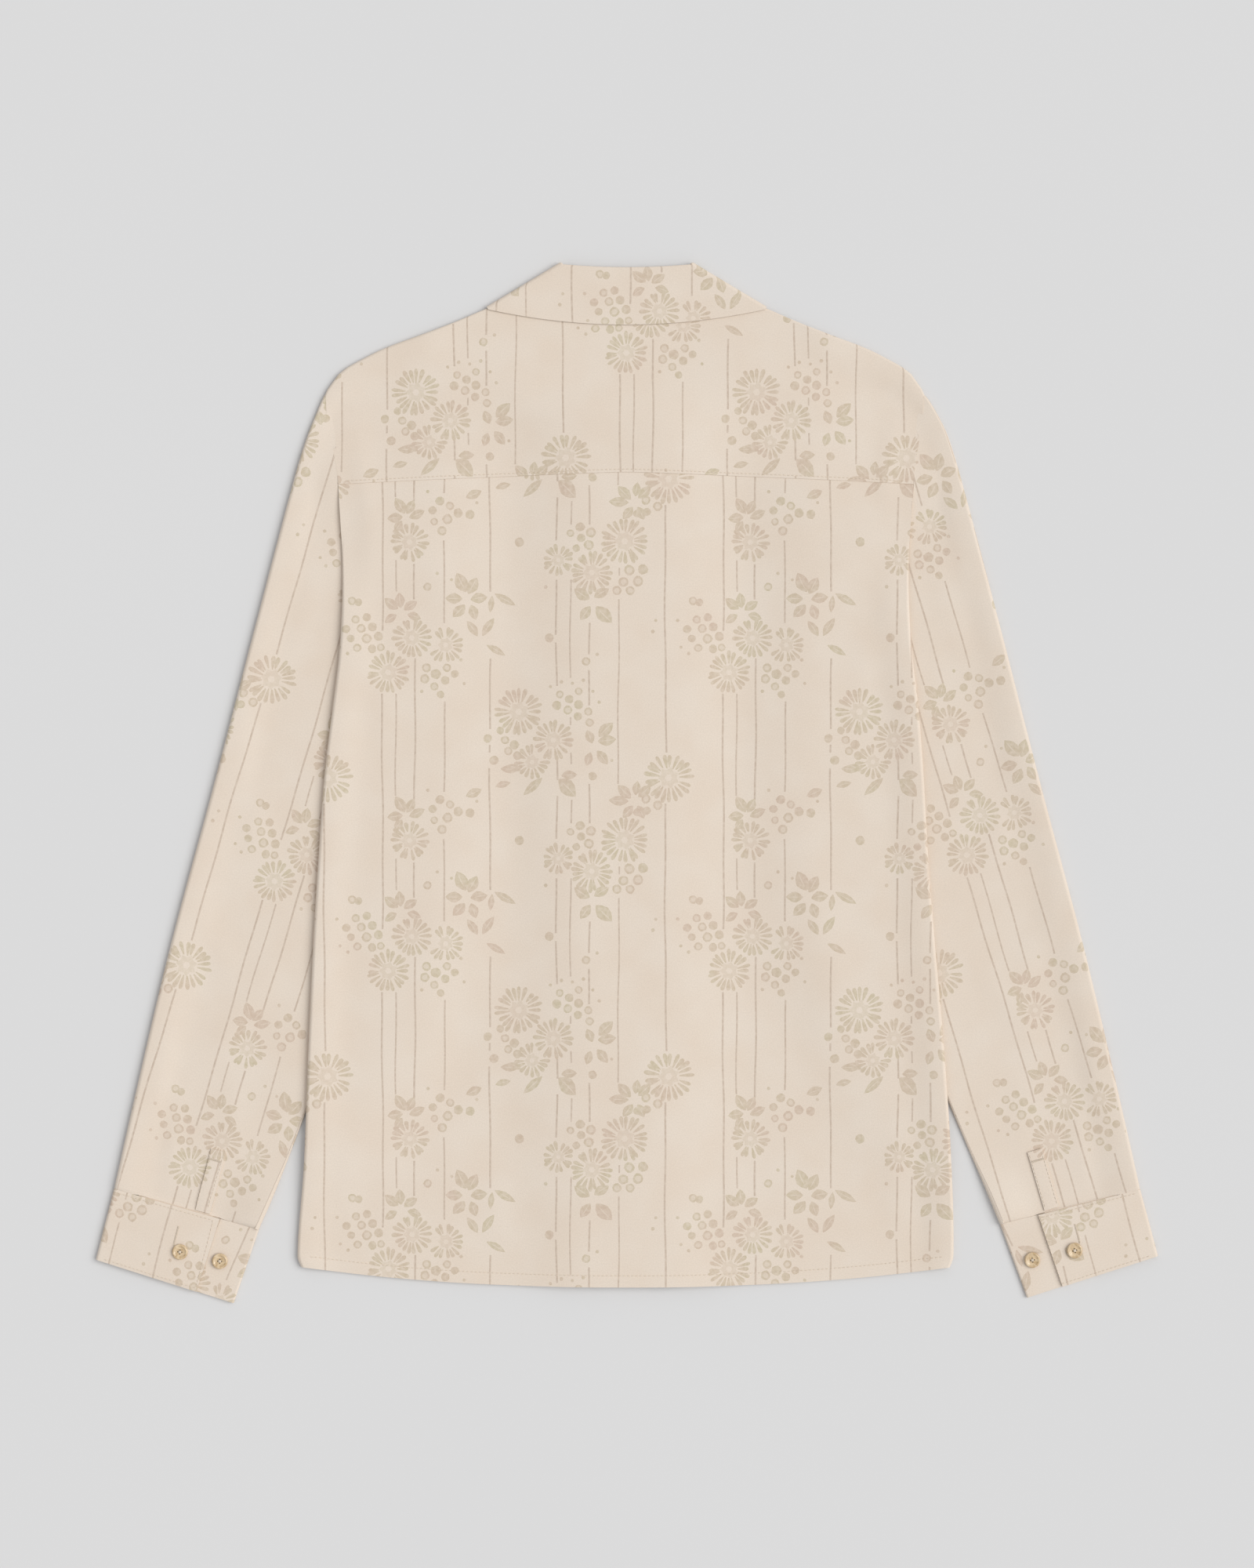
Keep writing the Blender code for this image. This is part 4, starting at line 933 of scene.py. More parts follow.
def weave_mesh(sheet, origin):
    """Triangles of a sheet's cut with the pattern let in: points, triangles and kinds."""
    shapes = pattern_shapes(sheet.box(), origin)
    used = sorted({i for quad in sheet.quads for i in quad})
    order = {old: new for new, old in enumerate(used)}
    points = [Vector((sheet.cuts[i].x, sheet.cuts[i].y)) for i in used]
    edges = [(order[a], order[b]) for a, b in sheet.rim_edges() + sheet.bent_edges()]
    for _, corners in shapes:
        base, count = len(points), len(corners)
        edges += [(base + k, base + (k + 1) % count) for k in range(count)]
        points += [Vector(corner) for corner in corners]
    cuts, _, faces, _, _, _ = delaunay_2d_cdt(points, edges, [], 0, CUT_MERGE, False)
    placed = [sheet.at(cut.x, cut.y) for cut in cuts]
    places = [place for place, _ in placed]
    normals = [normal for _, normal in placed]
    buckets = bucket_shapes(shapes)
    triangles, woven = [], []
    for face in faces:
        x = sum(cuts[i].x for i in face) / 3
        y = sum(cuts[i].y for i in face) / 3
        if not sheet.covers(x, y):
            continue
        near = buckets.get((math.floor(x / BUCKET), math.floor(y / BUCKET)), ())
        marks = [kind for kind, corners in near if inside_polygon(x, y, corners)]
        woven.append(float(marks[-1] if marks else GROUND))
        a, b, c = (places[i] for i in face)
        outward = (b - a).cross(c - a).dot(normals[face[0]] + normals[face[1]] + normals[face[2]])
        triangles.append(tuple(face) if outward >= 0.0 else tuple(reversed(face)))
    return cuts, places, normals, triangles, woven


def cloth_piece(node_name, sheet, cut_facts, material):
    """Build a sheet's mesh with its wall and woven pattern, and put it in the frame."""
    name = node_name + "_cloth"
    cuts, places, normals, triangles, woven = weave_mesh(sheet, cut_facts.origin)
    count = len(places)
    half = sheet.wall / 2
    points = [p + n * half for p, n in zip(places, normals)]
    points += [p - n * half for p, n in zip(places, normals)]
    edges = {(t[k], t[(k + 1) % 3]) for t in triangles for k in range(3)}
    rim = [(a, b) for a, b in sorted(edges) if (b, a) not in edges]
    faces = list(triangles)
    faces += [(c + count, b + count, a + count) for a, b, c in triangles]
    faces += [(b, a, a + count, b + count) for a, b in rim]
    marks = woven + woven + [0.0] * len(rim)
    mesh = bpy.data.meshes.new(name)
    mesh.from_pydata(points, [], faces)
    layer = mesh.uv_layers.new(name=UV_NAME)
    loop_normals = []
    for polygon in mesh.polygons:
        for loop in polygon.loop_indices:
            index = mesh.loops[loop].vertex_index
            cut = cuts[index % count]
            layer.data[loop].uv = (cut.x, cut.y)
            if len(polygon.vertices) == 4:
                loop_normals.append(polygon.normal.copy())
            else:
                loop_normals.append(normals[index % count] * (1.0 if index < count else -1.0))
    mark = mesh.attributes.new(WOVEN_NAME, "FLOAT", "FACE")
    mark.data.foreach_set("value", marks)
    mesh.shade_smooth()
    mesh.normals_split_custom_set(loop_normals)
    item = bpy.data.objects.new(name, mesh)
    bpy.context.scene.collection.objects.link(item)
    mesh.materials.append(material)
    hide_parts(node_name)
    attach(item, "root")


def steps(start, end, count):
    return [mix(start, end, i / count) for i in range(count + 1)]


def mirrored(half):
    """Columns of one side, from 0 outwards, and the same on the other side before them."""
    return [-u for u in reversed(half[1:])] + half


# Back and fronts

BODY_ROW_TOP = 0.1900
ARMHOLE_STRIP = 0.0060
SEAM_ROOM = 0.00025
TURN_STEPS = 2.0
TURN_COLUMNS = [1.2, 1.4, 1.6, 1.8, 2.0]
BACK_COLUMNS = 40
BACK_HEM_ROWS = 5
BACK_ROWS = 90
FRONT_BAND_COLUMNS = 8
FRONT_COLUMNS = 24
FRONT_ROWS = 80
LAPEL_COLUMNS = 5
LAPEL_ROWS = 12

# Relief beside seams: the cloth swells or dips, and sinks under a row of stitches
SEAM_DIP = 0.00035
SEAM_REACH = 0.0030
HEM_FOLD = 0.00035
HEM_FOLD_SOFT = 0.0015
STITCH_SINK = 0.00025
HEM_SINK_REACH = 0.0025
YOKE_SWELL = 0.0001
YOKE_STITCH_UP = 0.0022
YOKE_SINK_REACH = 0.0016

# Creases fade out so close to the body's edge
BACK_CALM = (0.004, 0.020)
YOKE_CALM = (0.002, 0.018)


def edge_turn(y, side):
    """Start, radius and middle height of the turn that meets the side seam half way down."""
    edge = body_edge(y, side)
    lower = underside(edge * side, y, side)
    upper = back_surface(edge * side, y)
    radius = (upper - lower) / 2
    return edge - wrap(y) * (radius + HALF), radius, (upper + lower) / 2


def edge_x(share, beyond, y, side, inner):
    """Distance out of a column: a share of the flat part, or a step of the turn beyond it."""
    start, radius, _ = edge_turn(y, side)
    strip = ARMHOLE_STRIP * (1 - wrap(y))
    flat_end = start - strip
    if beyond == 0:
        return mix(inner, flat_end, share), 0.0
    quarter = math.pi / 2 - SEAM_ROOM / radius
    angle = quarter * wrap(y) * beyond / TURN_STEPS
    return flat_end + strip * beyond / TURN_STEPS + radius * math.sin(angle), angle


def hem_and_seam(x, y):
    """Height changes where the hem is folded and where the yoke's seam is sewn."""
    above_hem = y - hem_line(x)
    folded = HEM_FOLD * ramp(above_hem, HEM_DEPTH + HEM_FOLD_SOFT, HEM_DEPTH)
    sunk = STITCH_SINK * ramp(abs(above_hem - HEM_DEPTH), HEM_SINK_REACH, 0.0)
    below_yoke = yoke_seam_line(x) - y
    return folded - sunk - SEAM_DIP * ramp(below_yoke, SEAM_REACH, 0.0)


def back_spot(column, level):
    """Columns run out to the edge at 1 and round it to 2; levels are heights on the page."""
    side = LEFT if column < 0 else RIGHT
    share = min(1.0, abs(column))
    beyond = max(0.0, abs(column) - 1.0) * TURN_STEPS
    y = level
    for _ in range(4):
        x, angle = edge_x(share, beyond, y, side, 0.0)
        hem_part = (hem_line(x) - HEM_Y) * ramp(level, HEM_CURVE_TOP, HEM_Y)
        seam_part = yoke_seam_line(x) - SEAM_CLEAR - YOKE_SEAM_Y
        y = level + hem_part + seam_part * ramp(level, SEAM_CURVE_FOOT, YOKE_SEAM_Y)
    _, radius, middle = edge_turn(y, side)
    if angle == 0.0:
        z = back_surface(side * x, y) + hem_and_seam(x, y)
        inside = ramp(body_edge(y, side) - x, *BACK_CALM)
        z += (crease_height(BODY_CREASES, side * x, y) + ripple(side * x, y)) * inside
        return Vector((side * x, y, z)), Vector((side * x, y))
    cut_x = x + radius * (angle - math.sin(angle))
    return Vector((side * x, y, middle + radius * math.cos(angle))), Vector((side * cut_x, y))


def make_back(material):
    columns = mirrored(steps(0.0, 1.0, BACK_COLUMNS) + TURN_COLUMNS)
    levels = steps(HEM_Y, HEM_Y + 0.012, BACK_HEM_ROWS)
    levels += steps(HEM_Y + 0.018, YOKE_SEAM_Y - 0.010, BACK_ROWS)
    levels += [YOKE_SEAM_Y - below for below in (0.0065, 0.0035, 0.0015, 0.0)]
    sheet = Sheet(columns, levels, back_spot)
    cloth_piece("back", sheet, BACK_CUT, material)
    return sheet


def forward_line(x):
    """Straight seam between the yoke and a front, on the underside below the shoulder."""
    share = share_of(FORWARD_SEAM_INNER.x, FORWARD_SEAM_OUTER.x, x)
    return mix(FORWARD_SEAM_INNER.y, FORWARD_SEAM_OUTER.y, share)


def neck_front_x(y):
    """Front neck seam, which is straight from the shoulder down to the lapel."""
    share = share_of(NECK_FRONT_FOOT.y, NECK_FRONT_TOP.y, y)
    return mix(NECK_FRONT_FOOT.x, NECK_FRONT_TOP.x, share)


def front_inner_x(y):
    """Inner edge of a front on its own side: placket, then the lapel's roll line."""
    if y <= BREAK_Y:
        return -PLACKET_HALF
    if y <= ROLL_TOP.y:
        return mix(-PLACKET_HALF, ROLL_TOP.x, (y - BREAK_Y) / (ROLL_TOP.y - BREAK_Y))
    return mix(ROLL_TOP.x, NECK_FRONT_FOOT.x, ramp(y, ROLL_TOP.y, NECK_FRONT_FOOT.y))


FRONT_BAND = 0.0530


def make_front(side, word, material):
    def spot(column, level):
        """Columns: the button stand from -1 to 0, then out to the edge at 1 and round to 2."""
        y = level
        for _ in range(12):
            inner = front_inner_x(y)
            if column <= 0.0:
                x, angle = inner + FRONT_BAND * (1.0 + column), 0.0
            else:
                beyond = max(0.0, column - 1.0) * TURN_STEPS
                x, angle = edge_x(min(column, 1.0), beyond, y, side, inner + FRONT_BAND)
            hem_part = (hem_line(x) - HEM_Y) * ramp(level, HEM_CURVE_TOP, HEM_Y)
            slant = max(0.0, share_of(BODY_ROW_TOP, FORWARD_SEAM_INNER.y, level))
            fall = forward_line(max(x, FORWARD_SEAM_INNER.x)) - SEAM_CLEAR - FORWARD_SEAM_INNER.y
            y = mix(y, level + hem_part + slant * fall, 0.7)
        _, radius, middle = edge_turn(y, side)
        if angle == 0.0:
            return Vector((side * x, y, front_surface(side * x, y, side))), Vector((side * x, y))
        cut_x = x + radius * (angle - math.sin(angle))
        return (Vector((side * x, y, middle - radius * math.cos(angle))),
                Vector((side * cut_x, y)))

    columns = steps(-1.0, 0.0, FRONT_BAND_COLUMNS)
    columns += steps(0.0, 1.0, FRONT_COLUMNS)[1:] + TURN_COLUMNS
    if side == LEFT:
        columns.reverse()
    sheet = Sheet(columns, steps(HEM_Y, FORWARD_SEAM_INNER.y, FRONT_ROWS), spot)
    sheet.turn_over()
    cloth_piece("front_" + word, sheet, FRONT_CUT, material)


def make_lapel(side, word, material):
    def spot(across, up):
        foot = Vector((front_inner_x(LAPEL_FOOT_Y) + HALF, LAPEL_FOOT_Y))
        head = Vector((ROLL_TOP.x + HALF, ROLL_TOP.y + LAPEL_HEAD_RISE))
        outer_foot = foot + Vector((LAPEL_FOOT_WIDTH, LAPEL_FOOT_RISE))
        place = foot.lerp(head, up).lerp(outer_foot.lerp(Vector(LAPEL_CORNER), up), across)
        return Vector((side * place.x, place.y, HALF)), Vector((side * place.x, place.y))

    across = steps(0.0, 1.0, LAPEL_COLUMNS)
    if side == LEFT:
        across.reverse()
    sheet = Sheet(across, steps(0.0, 1.0, LAPEL_ROWS), spot)
    sheet.turn_over()
    cloth_piece("lapel_" + word, sheet, LAPEL_CUT, material)


# Yoke

YOKE_TIP_X = 0.2205
SHOULDER_MIRROR_START = Vector((0.0740, 0.3615))
SHOULDER_MIRROR_END = Vector((0.2205, 0.3025))
YOKE_TIP_REACH = 0.0135
YOKE_FOLD_FROM = 0.7
YOKE_CALM_ROWS = 4.0
YOKE_NECK_COLUMNS = 12
YOKE_SHOULDER_COLUMNS = 26
YOKE_SEAM_ROWS = [0.0, 0.012, 0.024, 0.040]
YOKE_ROW_START = 0.07
YOKE_ROWS = 20
YOKE_FOLD_ROWS = 8
YOKE_FORWARD_ROWS = 5


def yoke_column_x(top, y, side):
    """Distance out at a height y of the column that is at top on the shoulder."""
    return top + (body_edge(y, side) - YOKE_TIP_X) * ramp(top, YOKE_EDGE_FROM, YOKE_TIP_X)


def shoulder_fold(top, side):
    """Centre, radius, outward normal and middle height of the shoulder's fold."""
    edge = Vector((yoke_column_x(top, shoulder_line(top), side), shoulder_line(top)))
    upper = back_surface(side * edge.x, edge.y)
    lower = underside(side * edge.x, edge.y, side)
    radius = (upper - lower) / 2
    normal = shoulder_normal(max(top, NECK_HALF))
    centre = edge - normal * (radius + HALF)
    tip = Vector((body_edge(ARMHOLE_TOP, side), ARMHOLE_TOP))
    near_tip = smooth(share_of(YOKE_TIP_X - YOKE_TIP_REACH, YOKE_TIP_X, top))
    centre = centre.lerp(tip, near_tip)
    normal = normal.lerp(TIP_NORMAL.normalized(), near_tip).normalized()
    return centre, radius, normal, (upper + lower) / 2


def over_shoulder(spot):
    """Cut of a point in front of the shoulder: mirrored at a straight line above it."""
    run = (SHOULDER_MIRROR_END - SHOULDER_MIRROR_START).normalized()
    out = Vector((-run.y, run.x))
    return spot + out * 2 * (SHOULDER_MIRROR_START - spot).dot(out)


def yoke_spot(column, row):
    """Rows run from the seam at 0 to the shoulder at 1, round it to 2, and forward to 3."""
    side = LEFT if column < 0 else RIGHT
    top_x = abs(column)
    centre, radius, normal, middle = shoulder_fold(top_x, side)
    top = Vector((top_x, neck_line(top_x))) if top_x < NECK_HALF else centre
    if row <= 1.0:
        foot_x = yoke_column_x(top_x, YOKE_SEAM_Y - YOKE_SEAM_DROP, side)
        y = mix(yoke_seam_line(foot_x) + SEAM_CLEAR, top.y, row)
        x = mix(yoke_column_x(top_x, y, side), top.x, smooth(row))
        if top_x == YOKE_TIP_X:
            x = body_edge(y, side)
        height = back_surface(side * x, y)
        if top_x >= NECK_HALF:
            height = mix(height, middle + radius, smooth(share_of(YOKE_FOLD_FROM, 1.0, row)))
        inside = ramp(body_edge(y, side) - x, *YOKE_CALM) * smooth((1.0 - row) * YOKE_CALM_ROWS)
        height += (crease_height(BODY_CREASES, side * x, y) + ripple(side * x, y)) * inside
        up = y - yoke_seam_line(x)
        height += YOKE_SWELL * ramp(up, SEAM_REACH, 0.0)
        height -= STITCH_SINK * ramp(abs(up - YOKE_STITCH_UP), YOKE_SINK_REACH, 0.0)
        return Vector((side * x, y, height)), Vector((side * x, y))
    if row <= 2.0:
        turned = math.pi * (row - 1.0)
        place = centre + normal * radius * math.sin(turned)
        cut = centre.lerp(over_shoulder(centre), row - 1.0)
        return (Vector((side * place.x, place.y, middle + radius * math.cos(turned))),
                Vector((side * cut.x, cut.y)))
    share = row - 2.0
    outward = min(1.0, max(0.0, (top_x - NECK_HALF) / NECK_BLEND))
    x = centre.x
    for _ in range(8):
        y = mix(centre.y, forward_line(x) + SEAM_CLEAR, share)
        if top_x == YOKE_TIP_X:
            x = body_edge(y, side)
        else:
            x = centre.x + (1 - outward) * (neck_front_x(y) - NECK_FRONT_TOP.x)
    cut = over_shoulder(Vector((x, y)))
    return Vector((side * x, y, underside(side * x, y, side))), Vector((side * cut.x, cut.y))


def make_yoke(material):
    half = steps(0.0, NECK_HALF, YOKE_NECK_COLUMNS)
    half += steps(NECK_HALF, YOKE_TIP_X, YOKE_SHOULDER_COLUMNS)[1:]
    rows = YOKE_SEAM_ROWS + steps(YOKE_ROW_START, 1.0, YOKE_ROWS)
    rows += steps(1.0, 2.0, YOKE_FOLD_ROWS)[1:] + steps(2.0, 3.0, YOKE_FORWARD_ROWS)[1:]

    def keep(left, right, top_row):
        """Past the shoulder's line the yoke has no cloth between the two ends of the neck."""
        return top_row <= 1.0 or min(abs(left), abs(right)) >= NECK_HALF - 1e-9

    sheet = Sheet(mirrored(half), rows, yoke_spot, keep)
    cloth_piece("yoke", sheet, YOKE_CUT, material)
    return sheet


# Collar

COLLAR_WAVE = 0.0004
COLLAR_WAVES = 63.0
COLLAR_BACK_COLUMNS = 18
COLLAR_TURN_COLUMNS = 8
COLLAR_FRONT_COLUMNS = 8
STAND_ROWS = 5
ROLL_ROWS = 8
FALL_ROWS = 9


def bend(start, middle, end, share):
    """Point on a quadratic curve that passes near its middle point."""
    start, middle, end = Vector(start), Vector(middle), Vector(end)
    return start.lerp(middle, share).lerp(middle.lerp(end, share), share)


def collar_lines(station):
    """Stations run along the back from 0 to 1, round the side fold to 2, and forward to 3."""
    if station <= 1.0:
        share = station
        stand_x = STAND_SIDE.x * share
        stand = Vector((stand_x, mix(neck_line(stand_x) + GAP, STAND_SIDE.y, share ** 4)))
        roll = Vector((ROLL_SIDE.x * share, mix(ROLL_BACK_Y, ROLL_SIDE.y, share ** 2)))
        fall = Vector((FALL_SIDE.x * share, mix(FALL_BACK_Y, FALL_SIDE.y, share ** 2)))
        return stand, roll, fall, 0.0
    if station <= 2.0:
        return Vector(STAND_SIDE), Vector(ROLL_SIDE), Vector(FALL_SIDE), math.pi * (station - 1.0)
    share = station - 2.0
    stand = Vector(STAND_SIDE).lerp(Vector(STAND_FRONT_END), share)
    roll = bend(ROLL_SIDE, ROLL_FRONT_MID, ROLL_FRONT_END, share)
    return stand, roll, Vector(FALL_SIDE).lerp(Vector(FALL_FRONT_END), share), math.pi


def collar_section(station, row):
    """Rows run up the stand from 0 to 1, over the roll to 2, and down the fall to 3."""
    stand, roll, fall, turned = collar_lines(station)
    puff = ROLL_PUFF * max(0.0, math.cos(turned))
    hairpin = (FALL_REACH + puff - STAND_REACH) / 2
    across = (roll - stand).normalized()
    if row <= 1.0:
        spot = stand.lerp(roll, row)
        reach = STAND_REACH
        cut = Vector((spot.x, 2 * roll.y - spot.y + math.pi * hairpin))
        if station > 1.0:
            cut = Vector((0.0, 0.0))
    elif row < 2.0:
        angle = math.pi * (row - 1.0)
        spot = roll + across * hairpin * math.sin(angle)
        reach = STAND_REACH + hairpin * (1 - math.cos(angle))
        cut = Vector((roll.x, roll.y + hairpin * (math.pi - angle)))
    else:
        share = row - 2.0
        spot = roll.lerp(fall, share)
        reach = FALL_REACH + puff * (1 - share) ** 2
        cut = spot.copy()
    return spot, reach, turned, cut


def collar_spot(column, row):
    """Place and cut; round the side fold and forward of it, the cut runs on sideways."""
    side = LEFT if column < 0 else RIGHT
    station = abs(column)
    spot, reach, turned, cut = collar_section(station, row)
    place = spot + COLLAR_SIDE_NORMAL * reach * math.sin(turned)
    height = COLLAR_MIDDLE + reach * math.cos(turned)
    if station > 1.0:
        corner, corner_reach, _, cut = collar_section(1.0, row)
        run = corner_reach * min(turned, math.pi) + (spot - corner).length
        cut = cut + Vector((run, 0.0))
    elif row > 2.0:
        share = row - 2.0
        wave = math.sin(COLLAR_WAVES * spot.x + 1.0) * math.sin(math.pi * share)
        height += COLLAR_WAVE * wave * share
    return Vector((side * place.x, place.y, height)), Vector((side * cut.x, cut.y))


def make_collar(material):
    half = steps(0.0, 1.0, COLLAR_BACK_COLUMNS) + steps(1.0, 2.0, COLLAR_TURN_COLUMNS)[1:]
    half += steps(2.0, 3.0, COLLAR_FRONT_COLUMNS)[1:]
    rows = steps(0.0, 1.0, STAND_ROWS) + steps(1.0, 2.0, ROLL_ROWS)[1:]
    rows += steps(2.0, 3.0, FALL_ROWS)[1:]
    rows.reverse()
    sheet = Sheet(mirrored(half), rows, collar_spot, wall=COLLAR_WALL)
    cloth_piece("collar", sheet, COLLAR_CUT, material)


# Sleeves

SLEEVE_GRAIN = math.radians(16.5)
UNFOLD_ROOM = 0.0095
BOW_RINGS = 4
HEAD_RINGS = 3
HEAD_RISE_SHARES = (1.0, 0.75, 0.30, 0.0)

# Creases fade out towards a sleeve's folds and both its ends
SLEEVE_CALM_OUTER = (0.0, 0.12)
SLEEVE_CALM_INNER = (1.0, 0.9)
SLEEVE_CALM_HEAD = (0.0, 0.8)
SLEEVE_CALM_FOOT = 0.5

# The sleeve's end settles to the height of the cuff's layers, so far below them
CUFF_SETTLE_RINGS = 0.45
CUFF_SETTLE_SHARE = 0.9
CUFF_SETTLE_BELOW = 0.0002
CUFF_LAP_SOFT = 0.05

SLEEVE_TOP_COLUMNS = 26
SLEEVE_OUTER_COLUMNS = 8
SLEEVE_UNDER_COLUMNS = 20
SLEEVE_INNER_COLUMNS = 6
SLEEVE_ROWS = 90


def cuff_of(side):
    return CUFF_LEFT if side == LEFT else CUFF_RIGHT


def sleeve_ends(ring, side):
    """Outer and inner end of a sleeve's section, in the plane, for any ring and part of one."""
    ring = min(max(ring, 0.0), float(LAST_RING))
    rings = list(range(len(SLEEVE_RINGS)))
    outer_y = through(rings, [r.outer_y for r in SLEEVE_RINGS], ring)
    inner_y = through(rings, [r.inner_y for r in SLEEVE_RINGS], ring)
    outer = Vector((side_value(SLEEVE_OUTER, outer_y, side), outer_y))
    inner = Vector((side_value(SLEEVE_INNER, inner_y, side), inner_y))
    last = ramp(ring, LAST_RING - 2.0, LAST_RING)
    cuff = cuff_of(side)
    away = Vector((0.0, SEAM_CLEAR))
    return (outer.lerp(Vector(cuff.seam_outer) + away, last),
            inner.lerp(Vector(cuff.seam_inner) + away, last))


def armhole_spot(share, side):
    """Point of the sleeve's own edge along the armhole seam."""
    y = mix(ARMHOLE_TOP, ARMHOLE_BOTTOM, share)
    clear = SEAM_CLEAR + TIP_ROOM * 0.3 * ramp(y, TIP_ROOM_FROM, ARMHOLE_TOP)
    return Vector((body_edge(y, side) - side_value(ARMHOLE_HOOK, y, side) + clear, y))


def armhole_bow(share, side):
    """How far the armhole's curve lies from the straight line between its ends."""
    straight = armhole_spot(0.0, side).lerp(armhole_spot(1.0, side), share)
    return armhole_spot(share, side) - straight


def fold_normals(ring, side):
    """Vectors that point out of the outer and the inner fold at one section."""
    before = sleeve_ends(max(ring - 1.0, 0.0), side)
    after = sleeve_ends(min(ring + 1.0, float(LAST_RING)), side)
    outer_run = after[0] - before[0]
    inner_run = after[1] - before[1]
    outer = Vector((-outer_run.y, outer_run.x)).normalized()
    inner = Vector((inner_run.y, -inner_run.x)).normalized()
    head = smooth(1.0 - ring)
    return outer.lerp(TIP_NORMAL.normalized(), head).normalized(), inner


def sleeve_rise(y, ring, side, inward):
    """The armhole's seam climbs with the body where the sleeve starts to dive under it."""
    rise_share = through(range(len(HEAD_RISE_SHARES)), HEAD_RISE_SHARES, ring)
    lift = sleeve_lift(body_edge(y, side), y, side, SPREAD) * ramp(y, *HEAD_RISE_Y)
    return rise_share * lift * mix(1.0, ramp(inward, 0.0, PUFF_REACH), min(1.0, ring))


def grain_axes(side):
    """Directions across and along a sleeve's grain, in the plane."""
    up = Vector((-side * math.sin(SLEEVE_GRAIN), math.cos(SLEEVE_GRAIN)))
    return Vector((up.y, -up.x)), up


def make_sleeve(side, word, material):
    across_axis, up_axis = grain_axes(side)

    def to_cut(spot):
        place = Vector((side * spot.x, spot.y))
        return Vector((place.dot(across_axis), place.dot(up_axis)))

    fold_top = to_cut(sleeve_ends(0.0, side)[0])
    fold_foot = to_cut(sleeve_ends(float(LAST_RING), side)[0])
    fold_run = (fold_top - fold_foot).normalized()
    fold_out = Vector((fold_run.y, -fold_run.x)) * side
    fold_point = fold_top + fold_out * UNFOLD_ROOM

    def unfolded(spot):
        """Cut of a point of the underside: mirrored at a line beside the outer fold."""
        cut = to_cut(spot)
        return cut + fold_out * 2 * (fold_point - cut).dot(fold_out)

    def spot(column, ring):
        """Columns: the top from -1 to 0, outer fold to 1, underside to 2, inner fold to 3."""
        outer_normal, inner_normal = fold_normals(ring, side)
        outer_puff = mix(SHOULDER_PUFF, SLEEVE_PUFF, smooth(ring / HEAD_RINGS))
        inner_puff = SLEEVE_PUFF * ramp(sleeve_ends(ring, side)[1].y, *INNER_PUFF_Y)
        outer_radius = (LAYER + outer_puff) / 2
        inner_radius = (LAYER + inner_puff) / 2
        outer, inner = sleeve_ends(ring, side)
        start = outer - outer_normal * (outer_radius + HALF)
        end = inner - inner_normal * (inner_radius + HALF)
        head = smooth(1.0 - ring)
        start = start.lerp(armhole_spot(0.0, side), head)
        end = end.lerp(armhole_spot(1.0, side), head)
        span = (end - start).length

        def flat_spot(share):
            bow = armhole_bow(share, side) * smooth(1 - ring / BOW_RINGS)
            return start.lerp(end, share) + bow

        def top_height(share, place):
            puff = outer_puff * ramp(share * span, PUFF_REACH, 0.0)
            puff += inner_puff * ramp((1 - share) * span, PUFF_REACH, 0.0)
            puff = mix(puff, shoulder_puff(place.x, place.y), head)
            height = HALF + LAYER + puff + sleeve_rise(place.y, ring, side, share * span)
            shown = ramp(share, *SLEEVE_CALM_OUTER) * ramp(share, *SLEEVE_CALM_INNER)
            shown *= ramp(ring, *SLEEVE_CALM_HEAD)
            shown *= ramp(ring, LAST_RING, LAST_RING - SLEEVE_CALM_FOOT)
            height += (crease_height(SLEEVE_CREASES, place.x, place.y)
                       + ripple(side * place.x, place.y)) * shown
            over_cuff = ramp(share, CUFF_OVERLAP_EDGE, CUFF_OVERLAP_EDGE - CUFF_LAP_SOFT)
            level = mix(CUFF_UNDERLAP, CUFF_OVER, over_cuff) - CUFF_SETTLE_BELOW
            settled = ramp(ring, LAST_RING - CUFF_SETTLE_RINGS, LAST_RING)
            return mix(height, level, settled * CUFF_SETTLE_SHARE)

        if column <= 0.0:
            place = flat_spot(-column)
            height, cut = top_height(-column, place), to_cut(place)
        elif column < 1.0:
            turned = math.pi * column
            base = flat_spot(0.0)
            radius = (top_height(0.0, base) - HALF) / 2
            place = base + outer_normal * radius * math.sin(turned)
            height = HALF + radius * (1 + math.cos(turned))
            cut = to_cut(base).lerp(unfolded(base), column)
        else:
            turned = math.pi * max(0.0, column - 2.0)
            base = flat_spot(min(column - 1.0, 1.0))
            place = base + inner_normal * inner_radius * math.sin(turned)
            height = HALF + inner_radius * (1 - math.cos(turned))
            cut = unfolded(base + inner_normal * inner_radius * turned)
        return Vector((side * place.x, place.y, height)), cut

    columns = [-share for share in reversed(steps(0.0, 1.0, SLEEVE_TOP_COLUMNS))]
    columns += steps(0.0, 1.0, SLEEVE_OUTER_COLUMNS)[1:]
    columns += steps(1.0, 2.0, SLEEVE_UNDER_COLUMNS)[1:]
    columns += steps(2.0, 3.0, SLEEVE_INNER_COLUMNS)[1:]
    sheet = Sheet(columns, steps(float(LAST_RING), 0.0, SLEEVE_ROWS), spot)
    sheet.turn_out()
    cloth_piece("sleeve_" + word, sheet, SLEEVE_CUTS[side], material)


# Cuffs and sleeve plackets

